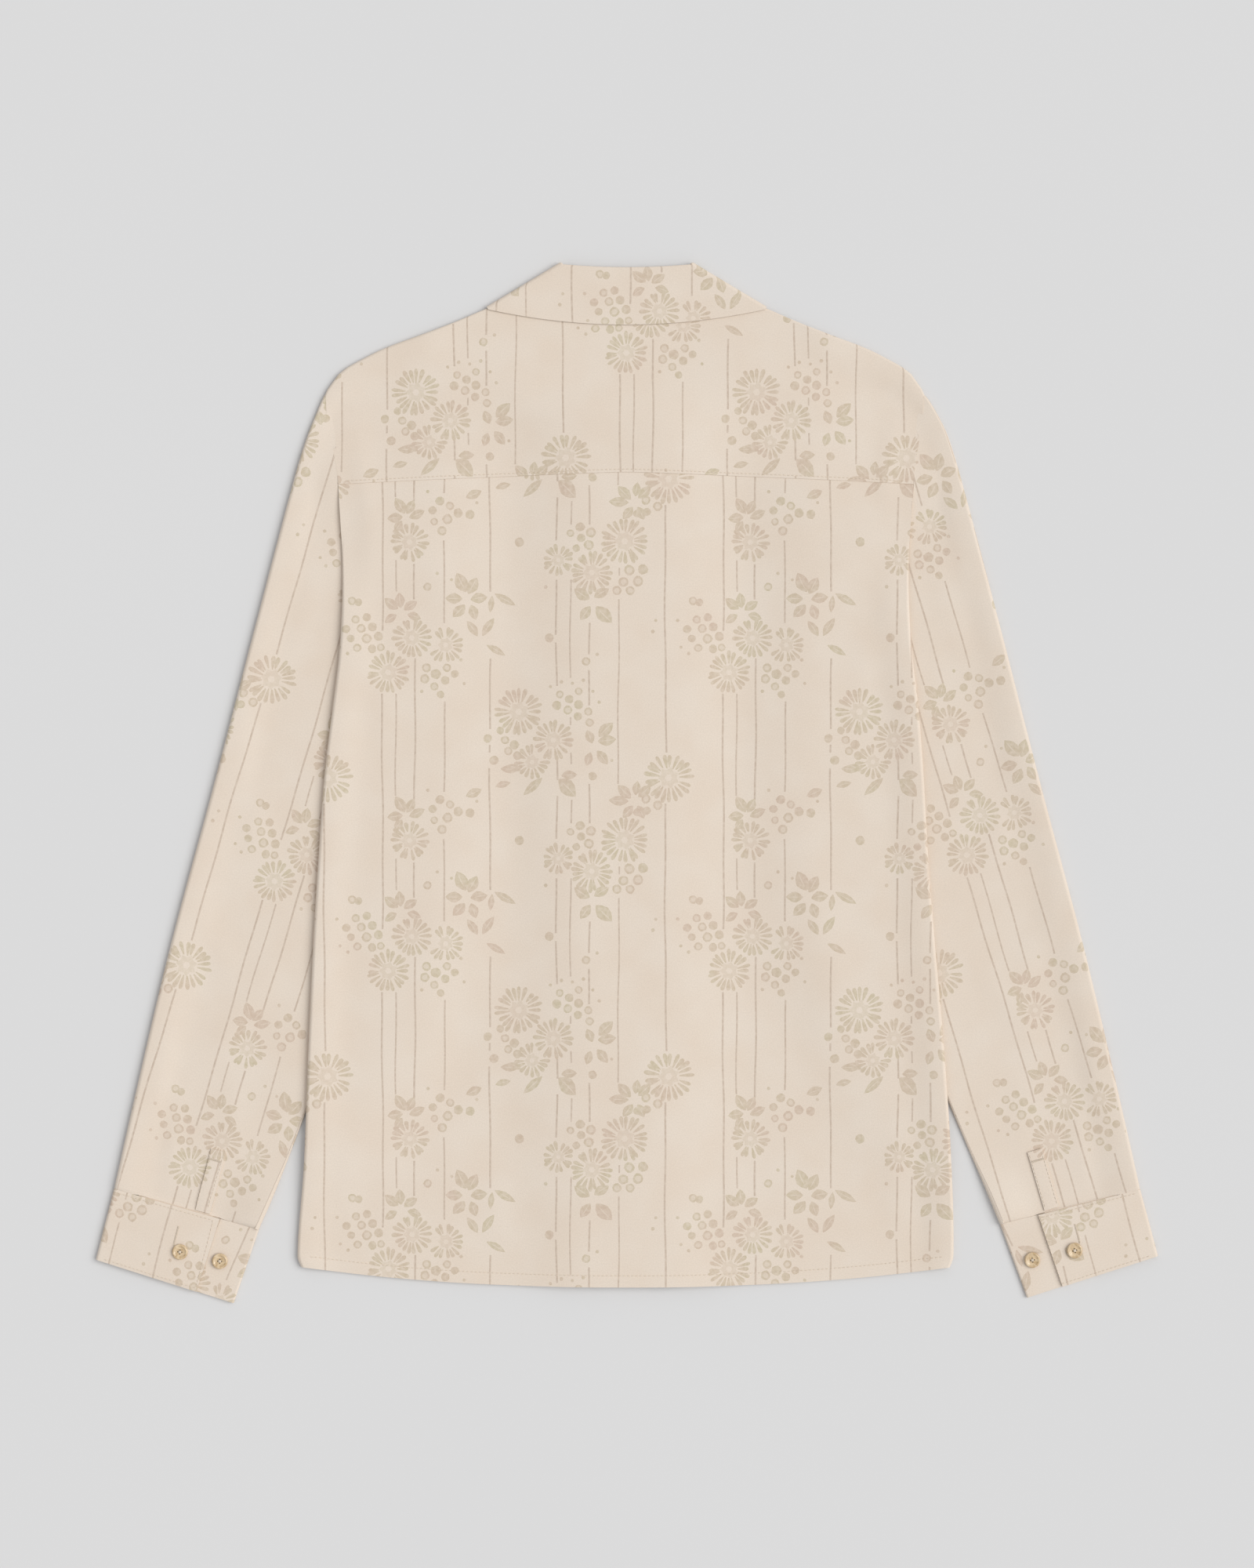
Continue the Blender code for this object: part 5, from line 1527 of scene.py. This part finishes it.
CUFF_SAG = 0.0002
CUFF_WAVE = 0.0003
CUFF_WAVES = 60.0
CUFF_WAVE_FROM = (4.0, 4.2)
CUFF_SINK_REACH = 0.0022
CUFF_UNDERLAP_COLUMNS = 12
CUFF_INNER_COLUMNS = 6
CUFF_BACK_COLUMNS = 16
CUFF_OUTER_COLUMNS = 8
CUFF_TOP_COLUMNS = 22
CUFF_MIDDLE_ROWS = 10
PLACKET_SWELL = 0.0002
PLACKET_SWELL_REACH = 0.003
PLACKET_COLUMNS = 8
PLACKET_ROWS = 16


def make_cuff(side, word, material):
    cuff = cuff_of(side)

    def spot(column, down):
        """Columns: underlap from 0 to 1, inner fold to 2, back to 3, outer fold to 4, top to 5."""
        outer = Vector(cuff.seam_outer).lerp(Vector(cuff.end_outer), down)
        inner = Vector(cuff.seam_inner).lerp(Vector(cuff.end_inner), down)
        inward = (inner - outer).normalized()
        width = (inner - outer).length
        inner_radius = (CUFF_UNDERLAP - CUFF_LOW) / 2
        outer_radius = (CUFF_OVER - CUFF_LOW) / 2
        near = outer_radius + CUFF_LOW
        far = width - inner_radius - CUFF_LOW
        lap = width * CUFF_OVERLAP_EDGE
        after_outer = near - math.pi * outer_radius
        after_inner = after_outer - (far - near) - math.pi * inner_radius
        if column <= 1.0:
            along, height = mix(lap - CUFF_OVERLAP, far, column), CUFF_UNDERLAP
            run = after_inner - (far - along)
            height -= CUFF_SAG * math.sin(math.pi * column)
        elif column <= 2.0:
            turned = math.pi * (column - 1.0)
            along = far + inner_radius * math.sin(turned)
            height = CUFF_LOW + inner_radius * (1 + math.cos(turned))
            run = after_outer - (far - near) - inner_radius * (math.pi - turned)
        elif column <= 3.0:
            along, height = mix(far, near, column - 2.0), CUFF_LOW
            run = after_outer - (along - near)
        elif column <= 4.0:
            turned = math.pi * (column - 3.0)
            along = near - outer_radius * math.sin(turned)
            height = CUFF_LOW + outer_radius * (1 - math.cos(turned))
            run = near - outer_radius * (math.pi - turned)
        else:
            along, height = mix(near, lap, column - 4.0), CUFF_OVER
            run = along
            wave = math.sin(CUFF_WAVES * along + 1.5 * side) * math.sin(math.pi * down)
            height += CUFF_WAVE * wave * ramp(column, *CUFF_WAVE_FROM)
            from_edge = min(down, 1.0 - down) * CUFF_LENGTH
            height -= STITCH_SINK * ramp(from_edge, CUFF_SINK_REACH, 0.0)
        place = outer + inward * along
        return Vector((side * place.x, place.y, height)), Vector((-side * run, -down * CUFF_LENGTH))

    columns = steps(0.0, 1.0, CUFF_UNDERLAP_COLUMNS) + steps(1.0, 2.0, CUFF_INNER_COLUMNS)[1:]
    columns += steps(2.0, 3.0, CUFF_BACK_COLUMNS)[1:] + steps(3.0, 4.0, CUFF_OUTER_COLUMNS)[1:]
    columns += steps(4.0, 5.0, CUFF_TOP_COLUMNS)[1:]
    downs = [0.0, 0.02, 0.04, 0.07] + steps(0.12, 0.88, CUFF_MIDDLE_ROWS)
    downs += [0.93, 0.96, 0.98, 1.0]
    sheet = Sheet(columns, downs, spot, wall=CUFF_WALL)
    sheet.turn_out()
    cloth_piece("cuff_" + word, sheet, CUFF_CUTS[side], material)
    return sheet


def make_placket(side, word, material):
    foot = PLACKET_FOOT_LEFT if side == LEFT else PLACKET_FOOT_RIGHT
    line = Vector(foot) - Vector(PLACKET_TOP)
    across = Vector((line.y, -line.x)).normalized() * PLACKET_WIDTH
    across_axis, up_axis = grain_axes(side)

    def spot(column, row):
        place = Vector(PLACKET_TOP) + line * row + across * (column - 0.5)
        height = 2 * WALL + AIR + GAP + PLACKET_WALL / 2
        edge = min(column, 1.0 - column) * PLACKET_WIDTH
        height += PLACKET_SWELL * ramp(edge, 0.0, PLACKET_SWELL_REACH)
        world = Vector((side * place.x, place.y))
        cut = Vector((world.dot(across_axis), world.dot(up_axis)))
        return Vector((side * place.x, place.y, height)), cut

    columns = steps(0.0, 1.0, PLACKET_COLUMNS)
    sheet = Sheet(columns, steps(0.0, 1.0, PLACKET_ROWS), spot, wall=PLACKET_WALL)
    sheet.turn_out()
    cloth_piece("sleeve_placket_" + word, sheet, SLEEVE_PLACKET_CUTS[side], material)
    return sheet


# Stitches: short threads laid along a line of a sheet's cut

STITCH_LENGTH = 0.0023
STITCH_PITCH = 0.0031
STITCH_RADIUS = 0.00022
BAR_PITCH = 0.00055
BAR_RADIUS = 0.00026
BAR_WIDTH = 0.0016
STITCH_PROUD = 0.00006
BAR_PROUD = 0.00008
THREAD_SIDES = 5

# A thread's sections: share of its length, share of its radius, and lift as a share of it
ThreadRing = namedtuple("ThreadRing", "along wide lift")
THREAD_RINGS = (
    ThreadRing(0.0, 0.35, -0.2),
    ThreadRing(0.2, 0.9, 0.6),
    ThreadRing(0.8, 0.9, 0.6),
    ThreadRing(1.0, 0.35, -0.2),
)


def add_stitches(name, runs, bars, material):
    """One mesh of stitches for (sheet, points of its cut) and bars for (sheet, start, end)."""
    shape = bmesh.new()
    for sheet, start, end in bars:
        add_bar(shape, sheet, start, end)
    for sheet, line in runs:
        lengths = [(b - a).length for a, b in zip(line, line[1:])]
        for k in range(int(sum(lengths) / STITCH_PITCH)):
            middle = (k + 0.5) * STITCH_PITCH
            ends = []
            for run in (middle - STITCH_LENGTH / 2, middle + STITCH_LENGTH / 2):
                cut = point_along(line, lengths, run)
                place, normal = sheet.at(cut.x, cut.y)
                ends.append(place + normal * (sheet.wall / 2 + STITCH_PROUD))
            add_thread(shape, ends[0], ends[1], normal, STITCH_RADIUS)
    finish_mesh(shape, name, material)


def point_along(line, lengths, run):
    """The point that lies a given run along a broken line."""
    index = 0
    while index < len(lengths) - 1 and run > lengths[index]:
        run -= lengths[index]
        index += 1
    return line[index].lerp(line[index + 1], run / lengths[index])


def add_bar(shape, sheet, start, end):
    """A worked bar or buttonhole: close threads laid across a line of a sheet's cut."""
    run = end - start
    across = Vector((-run.y, run.x)).normalized() * BAR_WIDTH / 2
    count = int(run.length / BAR_PITCH)
    for k in range(count + 1):
        middle = start.lerp(end, k / count)
        first, normal = sheet.at(middle.x - across.x, middle.y - across.y)
        second, _ = sheet.at(middle.x + across.x, middle.y + across.y)
        lift = normal * (sheet.wall / 2 + BAR_PROUD)
        add_thread(shape, first + lift, second + lift, normal, BAR_RADIUS)


def add_thread(shape, start, end, up, radius):
    """A thread, plump in the middle and thin where it dives into the cloth."""
    ahead = (end - start).normalized()
    across = ahead.cross(up).normalized()
    lift = across.cross(ahead).normalized()
    rings = []
    for section in THREAD_RINGS:
        centre = start.lerp(end, section.along) + lift * radius * section.lift
        ring = []
        for k in range(THREAD_SIDES):
            turn = 2 * math.pi * k / THREAD_SIDES
            off = across * math.cos(turn) + lift * math.sin(turn)
            ring.append(shape.verts.new(centre + off * radius * section.wide))
        rings.append(ring)
    for first, second in zip(rings, rings[1:]):
        for k in range(THREAD_SIDES):
            n = (k + 1) % THREAD_SIDES
            shape.faces.new((first[k], first[n], second[n], second[k]))
    shape.faces.new(list(reversed(rings[0])))
    shape.faces.new(rings[-1])


def finish_mesh(shape, name, material):
    """Turn a finished shape of threads into an object that belongs to the cloth."""
    bmesh.ops.recalc_face_normals(shape, faces=shape.faces)
    mesh = bpy.data.meshes.new(name)
    shape.to_mesh(mesh)
    shape.free()
    mesh.shade_smooth()
    mesh.materials.append(material)
    item = bpy.data.objects.new(name, mesh)
    bpy.context.scene.collection.objects.link(item)
    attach(item, "root")


# Buttons

HOLE_RADIUS = 0.00062
HOLE_REACH = 0.00125
HOLE_CORNERS = 14
DRILL_LENGTH = 0.01
BUTTON_CORNERS = 40
SHARP_EDGE = math.radians(35)
THREAD_APART = 0.00022
THREAD_RADIUS = 0.00034
THREAD_LEVEL = 0.70

# Each button is turned by an angle of its own, which grows with its place
BUTTON_TURN = 0.4
BUTTON_TURN_X = 3.0

# A button's turned outline: shares of its radius and of its thickness, from foot to dish
Turned = namedtuple("Turned", "radius height")
BUTTON_OUTLINE = (
    Turned(0.0, 0.0), Turned(0.80, 0.0), Turned(0.93, 0.10), Turned(1.0, 0.35),
    Turned(1.0, 0.62), Turned(0.96, 0.86), Turned(0.90, 0.98), Turned(0.83, 1.0),
    Turned(0.76, 0.95), Turned(0.70, 0.80), Turned(0.62, 0.72), Turned(0.0, 0.70),
)


def turned_mesh(name):
    """A button without its holes."""
    shape = bmesh.new()
    rings = []
    for row in BUTTON_OUTLINE:
        reach, z = row.radius * BUTTON_RADIUS, row.height * BUTTON_THICK
        corners = BUTTON_CORNERS if reach > 0.0 else 1
        turns = [2 * math.pi * k / corners for k in range(corners)]
        rings.append([shape.verts.new((reach * math.cos(turn), reach * math.sin(turn), z))
                      for turn in turns])
    for low, high in zip(rings, rings[1:]):
        for k in range(BUTTON_CORNERS):
            n = (k + 1) % BUTTON_CORNERS
            if len(low) == 1:
                shape.faces.new((low[0], high[n], high[k]))
            elif len(high) == 1:
                shape.faces.new((low[k], low[n], high[0]))
            else:
                shape.faces.new((low[k], low[n], high[n], high[k]))
    mesh = bpy.data.meshes.new(name)
    shape.to_mesh(mesh)
    shape.free()
    return mesh


def drill_holes(item):
    """Cut four holes through a button that still lies at the origin."""
    drill = bmesh.new()
    for k in range(4):
        turn = math.pi / 4 + math.pi / 2 * k
        spot = Matrix.Translation((HOLE_REACH * math.cos(turn), HOLE_REACH * math.sin(turn), 0.0))
        bmesh.ops.create_cone(drill, cap_ends=True, segments=HOLE_CORNERS, radius1=HOLE_RADIUS,
                              radius2=HOLE_RADIUS, depth=DRILL_LENGTH, matrix=spot)
    drill_mesh = bpy.data.meshes.new(item.name + "_drill")
    drill.to_mesh(drill_mesh)
    drill.free()
    driller = bpy.data.objects.new(item.name + "_drill", drill_mesh)
    bpy.context.scene.collection.objects.link(driller)
    cut = item.modifiers.new("Holes", "BOOLEAN")
    cut.operation = "DIFFERENCE"
    cut.solver = "EXACT"
    cut.object = driller
    bpy.context.view_layer.update()
    evaluated = item.evaluated_get(bpy.context.evaluated_depsgraph_get())
    drilled = bpy.data.meshes.new_from_object(evaluated)
    item.modifiers.clear()
    item.data = drilled
    drilled.name = item.name
    bpy.data.objects.remove(driller)


def make_button(node_name, x, y, base, material, thread, face_down=False):
    """A turned horn button with a rim, a dish, four drilled holes and its thread."""
    name = node_name + "_horn"
    item = bpy.data.objects.new(name, turned_mesh(name))
    bpy.context.scene.collection.objects.link(item)
    drill_holes(item)
    item.data.shade_smooth()
    item.data.set_sharp_from_angle(angle=SHARP_EDGE)
    item.data.materials.clear()
    item.data.materials.append(material)
    flip = Matrix.Rotation(math.pi, 4, "X") if face_down else Matrix.Identity(4)
    turn = Matrix.Rotation(BUTTON_TURN + BUTTON_TURN_X * x + y, 4, "Z")
    rise = base + (BUTTON_THICK if face_down else 0.0)
    item.matrix_world = Matrix.Translation((x, y, rise)) @ turn @ flip
    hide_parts(node_name)
    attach(item, "root")
    threads = bmesh.new()
    z = THREAD_LEVEL * BUTTON_THICK
    reach = HOLE_REACH * math.sqrt(0.5)
    for way in (1, -1):
        for nudge in (-THREAD_APART, THREAD_APART):
            off = Vector((nudge, -way * nudge, 0.0))
            add_thread(threads, Vector((-reach, -way * reach, z)) + off,
                       Vector((reach, way * reach, z)) + off, Vector((0.0, 0.0, 1.0)),
                       THREAD_RADIUS)
    threads.transform(item.matrix_world)
    finish_mesh(threads, name + "_thread", thread)


# Materials

def new_material(name):
    """A material with its node tree and its main shader."""
    material = bpy.data.materials.new(name)
    material.use_nodes = True
    tree = material.node_tree
    return material, tree, tree.nodes["Principled BSDF"]


def node(tree, kind, **settings):
    item = tree.nodes.new(kind)
    for key, value in settings.items():
        setattr(item, key, value)
    return item


def feed(tree, socket, value):
    """Link a socket to another one, or set it to a number or a colour."""
    if isinstance(value, bpy.types.NodeSocket):
        tree.links.new(value, socket)
    else:
        socket.default_value = value


def math_node(tree, operation, first, second=None):
    item = node(tree, "ShaderNodeMath", operation=operation)
    feed(tree, item.inputs[0], first)
    if second is not None:
        feed(tree, item.inputs[1], second)
    return item.outputs[0]


def line_node(tree, value, slope, start, clamp=False):
    """start + slope * value, kept between 0 and 1 where clamp is set."""
    item = node(tree, "ShaderNodeMath", operation="MULTIPLY_ADD", use_clamp=clamp)
    feed(tree, item.inputs[0], value)
    feed(tree, item.inputs[1], slope)
    feed(tree, item.inputs[2], start)
    return item.outputs[0]


def colour_mix(tree, factor, first, second):
    item = node(tree, "ShaderNodeMix", data_type="RGBA")
    feed(tree, item.inputs[0], factor)
    feed(tree, item.inputs[6], first)
    feed(tree, item.inputs[7], second)
    return item.outputs[2]


def noise_node(tree, place, scale, detail=2.0, distortion=0.0):
    noise = node(tree, "ShaderNodeTexNoise")
    noise.inputs["Scale"].default_value = scale
    noise.inputs["Detail"].default_value = detail
    noise.inputs["Distortion"].default_value = distortion
    tree.links.new(place, noise.inputs["Vector"])
    return noise.outputs["Fac"]


# Jacquard: the dyes of ground and motifs each drift between two shades
GROUND_COLOUR = (0.768, 0.673, 0.575, 1.0)
GROUND_WARM = (0.752, 0.645, 0.540, 1.0)
MOTIF_OLIVE = (0.590, 0.510, 0.370, 1.0)
MOTIF_PINK = (0.610, 0.485, 0.385, 1.0)
STRIPE_COLOUR = (0.570, 0.465, 0.375, 1.0)
DRIFT_SCALE = 26.0
DRIFT_SLOPE = 3.2
DRIFT_START = -1.1
MOTTLE_SCALE = 330.0
MOTTLE_SLOPE = 1.5
MOTTLE_START = 0.05
PALE_STRENGTH = 0.42
GRAIN_SCALE = 900.0
GRAIN_SLOPE = 0.14
GRAIN_START = 0.93

# Weave: radians a metre of the threads each way, and how their relief and gloss show
WARP_WAVE = 9000.0
WEFT_WAVE = 7600.0
FLOAT_RELIEF = 0.8
SLUB_RELIEF = 1.5
WEAVE_STRENGTH = 0.25
WEAVE_DEPTH = 0.00012
GROUND_ROUGHNESS = 0.88
MOTIF_GLOSS = -0.14

THREAD_LIGHT = (0.80, 0.70, 0.58, 1.0)
THREAD_DARK = (0.70, 0.60, 0.48, 1.0)
THREAD_TWIST = 2500.0

HORN_DARK = (0.48, 0.325, 0.160, 1.0)
HORN_LIGHT = (0.76, 0.600, 0.400, 1.0)
HORN_DARK_END = 0.34
HORN_LIGHT_END = 0.62
HORN_CLOUD = 170.0

PAPER_DARK = (0.700, 0.700, 0.703, 1.0)
PAPER_LIGHT = (0.712, 0.712, 0.714, 1.0)
PAPER_CLOUD = 2.0


def jacquard_material():
    """Cloth whose faces say what they are: ground, motif, stripe or a motif's pale part."""
    material, tree, shader = new_material("Jacquard")
    links = tree.links
    cut = node(tree, "ShaderNodeUVMap", uv_map=UV_NAME).outputs[0]
    woven = node(tree, "ShaderNodeAttribute", attribute_name=WOVEN_NAME).outputs["Fac"]
    motif = math_node(tree, "COMPARE", woven, float(MOTIF))
    stripe = math_node(tree, "COMPARE", woven, float(STRIPE))
    pale = math_node(tree, "COMPARE", woven, float(PALE))
    drift = line_node(tree, noise_node(tree, cut, DRIFT_SCALE), DRIFT_SLOPE, DRIFT_START, True)
    fine = noise_node(tree, cut, GRAIN_SCALE, 1.0)
    mottle = noise_node(tree, cut, MOTTLE_SCALE, 3.0)
    strength = line_node(tree, mottle, MOTTLE_SLOPE, MOTTLE_START, True)
    ground = colour_mix(tree, drift, GROUND_COLOUR, GROUND_WARM)
    flower = colour_mix(tree, drift, MOTIF_OLIVE, MOTIF_PINK)
    colour = colour_mix(tree, math_node(tree, "MULTIPLY", motif, strength), ground, flower)
    striped = math_node(tree, "MULTIPLY", stripe, strength)
    colour = colour_mix(tree, striped, colour, STRIPE_COLOUR)
    inner = math_node(tree, "MULTIPLY", math_node(tree, "MULTIPLY", pale, strength), PALE_STRENGTH)
    colour = colour_mix(tree, inner, colour, flower)
    grain = node(tree, "ShaderNodeHueSaturation")
    links.new(colour, grain.inputs["Color"])
    links.new(line_node(tree, fine, GRAIN_SLOPE, GRAIN_START), grain.inputs["Value"])
    links.new(grain.outputs[0], shader.inputs["Base Color"])
    split = node(tree, "ShaderNodeSeparateXYZ")
    links.new(cut, split.inputs[0])
    warp = math_node(tree, "SINE", math_node(tree, "MULTIPLY", split.outputs[0], WARP_WAVE))
    weft = math_node(tree, "SINE", math_node(tree, "MULTIPLY", split.outputs[1], WEFT_WAVE))
    weave = node(tree, "ShaderNodeMix", data_type="FLOAT")
    links.new(motif, weave.inputs[0])
    links.new(math_node(tree, "MULTIPLY", warp, weft), weave.inputs[2])
    links.new(math_node(tree, "MULTIPLY", weft, FLOAT_RELIEF), weave.inputs[3])
    slub = math_node(tree, "MULTIPLY", fine, SLUB_RELIEF)
    bump = node(tree, "ShaderNodeBump")
    bump.inputs["Strength"].default_value = WEAVE_STRENGTH
    bump.inputs["Distance"].default_value = WEAVE_DEPTH
    links.new(math_node(tree, "ADD", weave.outputs[0], slub), bump.inputs["Height"])
    links.new(bump.outputs[0], shader.inputs["Normal"])
    rough = line_node(tree, motif, MOTIF_GLOSS, GROUND_ROUGHNESS)
    links.new(rough, shader.inputs["Roughness"])
    shader.inputs["Sheen Weight"].default_value = 0.12
    shader.inputs["Sheen Roughness"].default_value = 0.5
    shader.inputs["Specular IOR Level"].default_value = 0.25
    return material


def object_place(tree):
    return node(tree, "ShaderNodeTexCoord").outputs["Object"]


def thread_material():
    material, tree, shader = new_material("Thread")
    twist = noise_node(tree, object_place(tree), THREAD_TWIST)
    colour = colour_mix(tree, twist, THREAD_LIGHT, THREAD_DARK)
    tree.links.new(colour, shader.inputs["Base Color"])
    shader.inputs["Roughness"].default_value = 0.6
    return material


def horn_material():
    material, tree, shader = new_material("Horn")
    cloud = noise_node(tree, object_place(tree), HORN_CLOUD, 3.0, 1.4)
    shades = node(tree, "ShaderNodeValToRGB")
    dark, light = shades.color_ramp.elements
    dark.position, dark.color = HORN_DARK_END, HORN_DARK
    light.position, light.color = HORN_LIGHT_END, HORN_LIGHT
    tree.links.new(cloud, shades.inputs["Fac"])
    tree.links.new(shades.outputs["Color"], shader.inputs["Base Color"])
    shader.inputs["Roughness"].default_value = 0.28
    shader.inputs["Coat Weight"].default_value = 0.35
    shader.inputs["Coat Roughness"].default_value = 0.12
    return material


def paper_material():
    material, tree, shader = new_material("Studio paper")
    cloud = noise_node(tree, object_place(tree), PAPER_CLOUD)
    colour = colour_mix(tree, cloud, PAPER_DARK, PAPER_LIGHT)
    tree.links.new(colour, shader.inputs["Base Color"])
    shader.inputs["Roughness"].default_value = 0.9
    shader.inputs["Specular IOR Level"].default_value = 0.1
    return material


# Studio

FLOOR_HALF = 4.0
FLOOR_BELOW = 0.0001
LIGHT_TOWARD = Vector((0.66, 0.10, 0.73))
LIGHT_AWAY = 2.0
LIGHT_ENERGY = 1.85
LIGHT_ANGLE = math.radians(45)
LIGHT_COLOUR = (1.0, 0.99, 0.975)
ROOM_COLOUR = (0.985, 0.99, 1.0, 1.0)
ROOM_STRENGTH = 0.580
LENS = 85.0
SENSOR = 36.0
FRAME_HEIGHT = 1.150
FRAME_MIDDLE = Point(0.0003, -0.0006)


def add_floor(material):
    shape = bmesh.new()
    bmesh.ops.create_grid(shape, x_segments=8, y_segments=8, size=FLOOR_HALF)
    mesh = bpy.data.meshes.new("floor")
    shape.to_mesh(mesh)
    shape.free()
    mesh.materials.append(material)
    item = bpy.data.objects.new("floor", mesh)
    item.location = (0.0, 0.0, -FLOOR_BELOW)
    bpy.context.scene.collection.objects.link(item)


def add_studio():
    """Floor, one wide soft light from the right, an even room and a camera straight above."""
    scene = bpy.context.scene
    add_floor(paper_material())
    light = bpy.data.lights.new("softbox", "SUN")
    light.energy = LIGHT_ENERGY
    light.angle = LIGHT_ANGLE
    light.color = LIGHT_COLOUR
    item = bpy.data.objects.new("softbox", light)
    item.rotation_euler = LIGHT_TOWARD.to_track_quat("Z", "Y").to_euler()
    item.location = LIGHT_TOWARD * LIGHT_AWAY
    scene.collection.objects.link(item)
    scene.world = bpy.data.worlds.new("Studio")
    scene.world.use_nodes = True
    room = scene.world.node_tree.nodes["Background"]
    room.inputs["Color"].default_value = ROOM_COLOUR
    room.inputs["Strength"].default_value = ROOM_STRENGTH
    camera = bpy.data.cameras.new("camera")
    camera.lens = LENS
    camera.sensor_width = SENSOR
    item = bpy.data.objects.new("camera", camera)
    item.location = (FRAME_MIDDLE.x, FRAME_MIDDLE.y, FRAME_HEIGHT * LENS / SENSOR)
    scene.collection.objects.link(item)
    scene.camera = item
    scene.view_settings.view_transform = "Standard"
    scene.view_settings.look = "None"


# The whole shirt

BODY_STITCH_POINTS = 60
HEM_STITCH_REACH = 0.232
YOKE_STITCH_REACH = 0.205


def stitch_line(function, rise, reach):
    """Points of a seam from side to side, a little above the line of a function."""
    xs = steps(-reach, reach, BODY_STITCH_POINTS)
    return [Vector((x, function(x) + rise)) for x in xs]


def stitch_cuff(side, word, cuff, placket, material):
    """Stitches round a cuff and its placket, the placket's bar and the cuff's buttonhole."""
    out = -side
    start, lap = out * CUFF_STITCH_START, out * CUFF_LAP_STITCH
    top, foot = -CUFF_STITCH_IN, CUFF_STITCH_IN - CUFF_LENGTH
    runs = [(cuff, [Vector((start, top)), Vector((lap, top)), Vector((lap, foot)),
                    Vector((start, foot))])]
    across, up = grain_axes(side)
    placket_top = Vector((side * PLACKET_TOP.x, PLACKET_TOP.y))
    crest = Vector((placket_top.dot(across), placket_top.dot(up)))
    half_width = Vector((PLACKET_WIDTH / 2 - PLACKET_STITCH_IN, 0.0))
    for edge in (-half_width, half_width):
        runs.append((placket, [crest + edge - Vector((0.0, PLACKET_STITCH_TOP)),
                               crest + edge - Vector((0.0, PLACKET_STITCH_FOOT))]))
    bar = crest - Vector((0.0, PLACKET_BAR))
    bars = [(placket, bar - half_width, bar + half_width),
            (cuff, Vector((out * CUFF_HOLE, -CUFF_HOLE_TOP)),
             Vector((out * CUFF_HOLE, -CUFF_HOLE_FOOT)))]
    add_stitches("cuff_%s_stitches" % word, runs, bars, material)


def main():
    add_studio()
    jacquard = jacquard_material()
    thread = thread_material()
    horn = horn_material()

    back = make_back(jacquard)
    yoke = make_yoke(jacquard)
    make_collar(jacquard)
    add_stitches("body_stitches",
                 [(back, stitch_line(hem_line, HEM_DEPTH, HEM_STITCH_REACH)),
                  (yoke, stitch_line(yoke_seam_line, YOKE_STITCH_UP, YOKE_STITCH_REACH))],
                 [], thread)
    for side, word in SIDES:
        make_front(side, word, jacquard)
        make_lapel(side, word, jacquard)
        make_sleeve(side, word, jacquard)
        cuff = make_cuff(side, word, jacquard)
        placket = make_placket(side, word, jacquard)
        stitch_cuff(side, word, cuff, placket, thread)
        buttons = CUFF_BUTTONS_LEFT if side == LEFT else CUFF_BUTTONS_RIGHT
        layers = (CUFF_OVER, CUFF_UNDERLAP)
        for number, (spot, layer) in enumerate(zip(buttons, layers), start=1):
            make_button("cuff_button_%s_%d" % (word, number), side * spot.x, spot.y,
                        layer + CUFF_WALL / 2 + GAP, horn, thread)
    for number in range(FRONT_BUTTONS):
        y = FRONT_BUTTON_TOP - FRONT_BUTTON_PITCH * number
        make_button("front_button_%d" % (number + 1), 0.0, y, 0.0, horn, thread, face_down=True)


main()
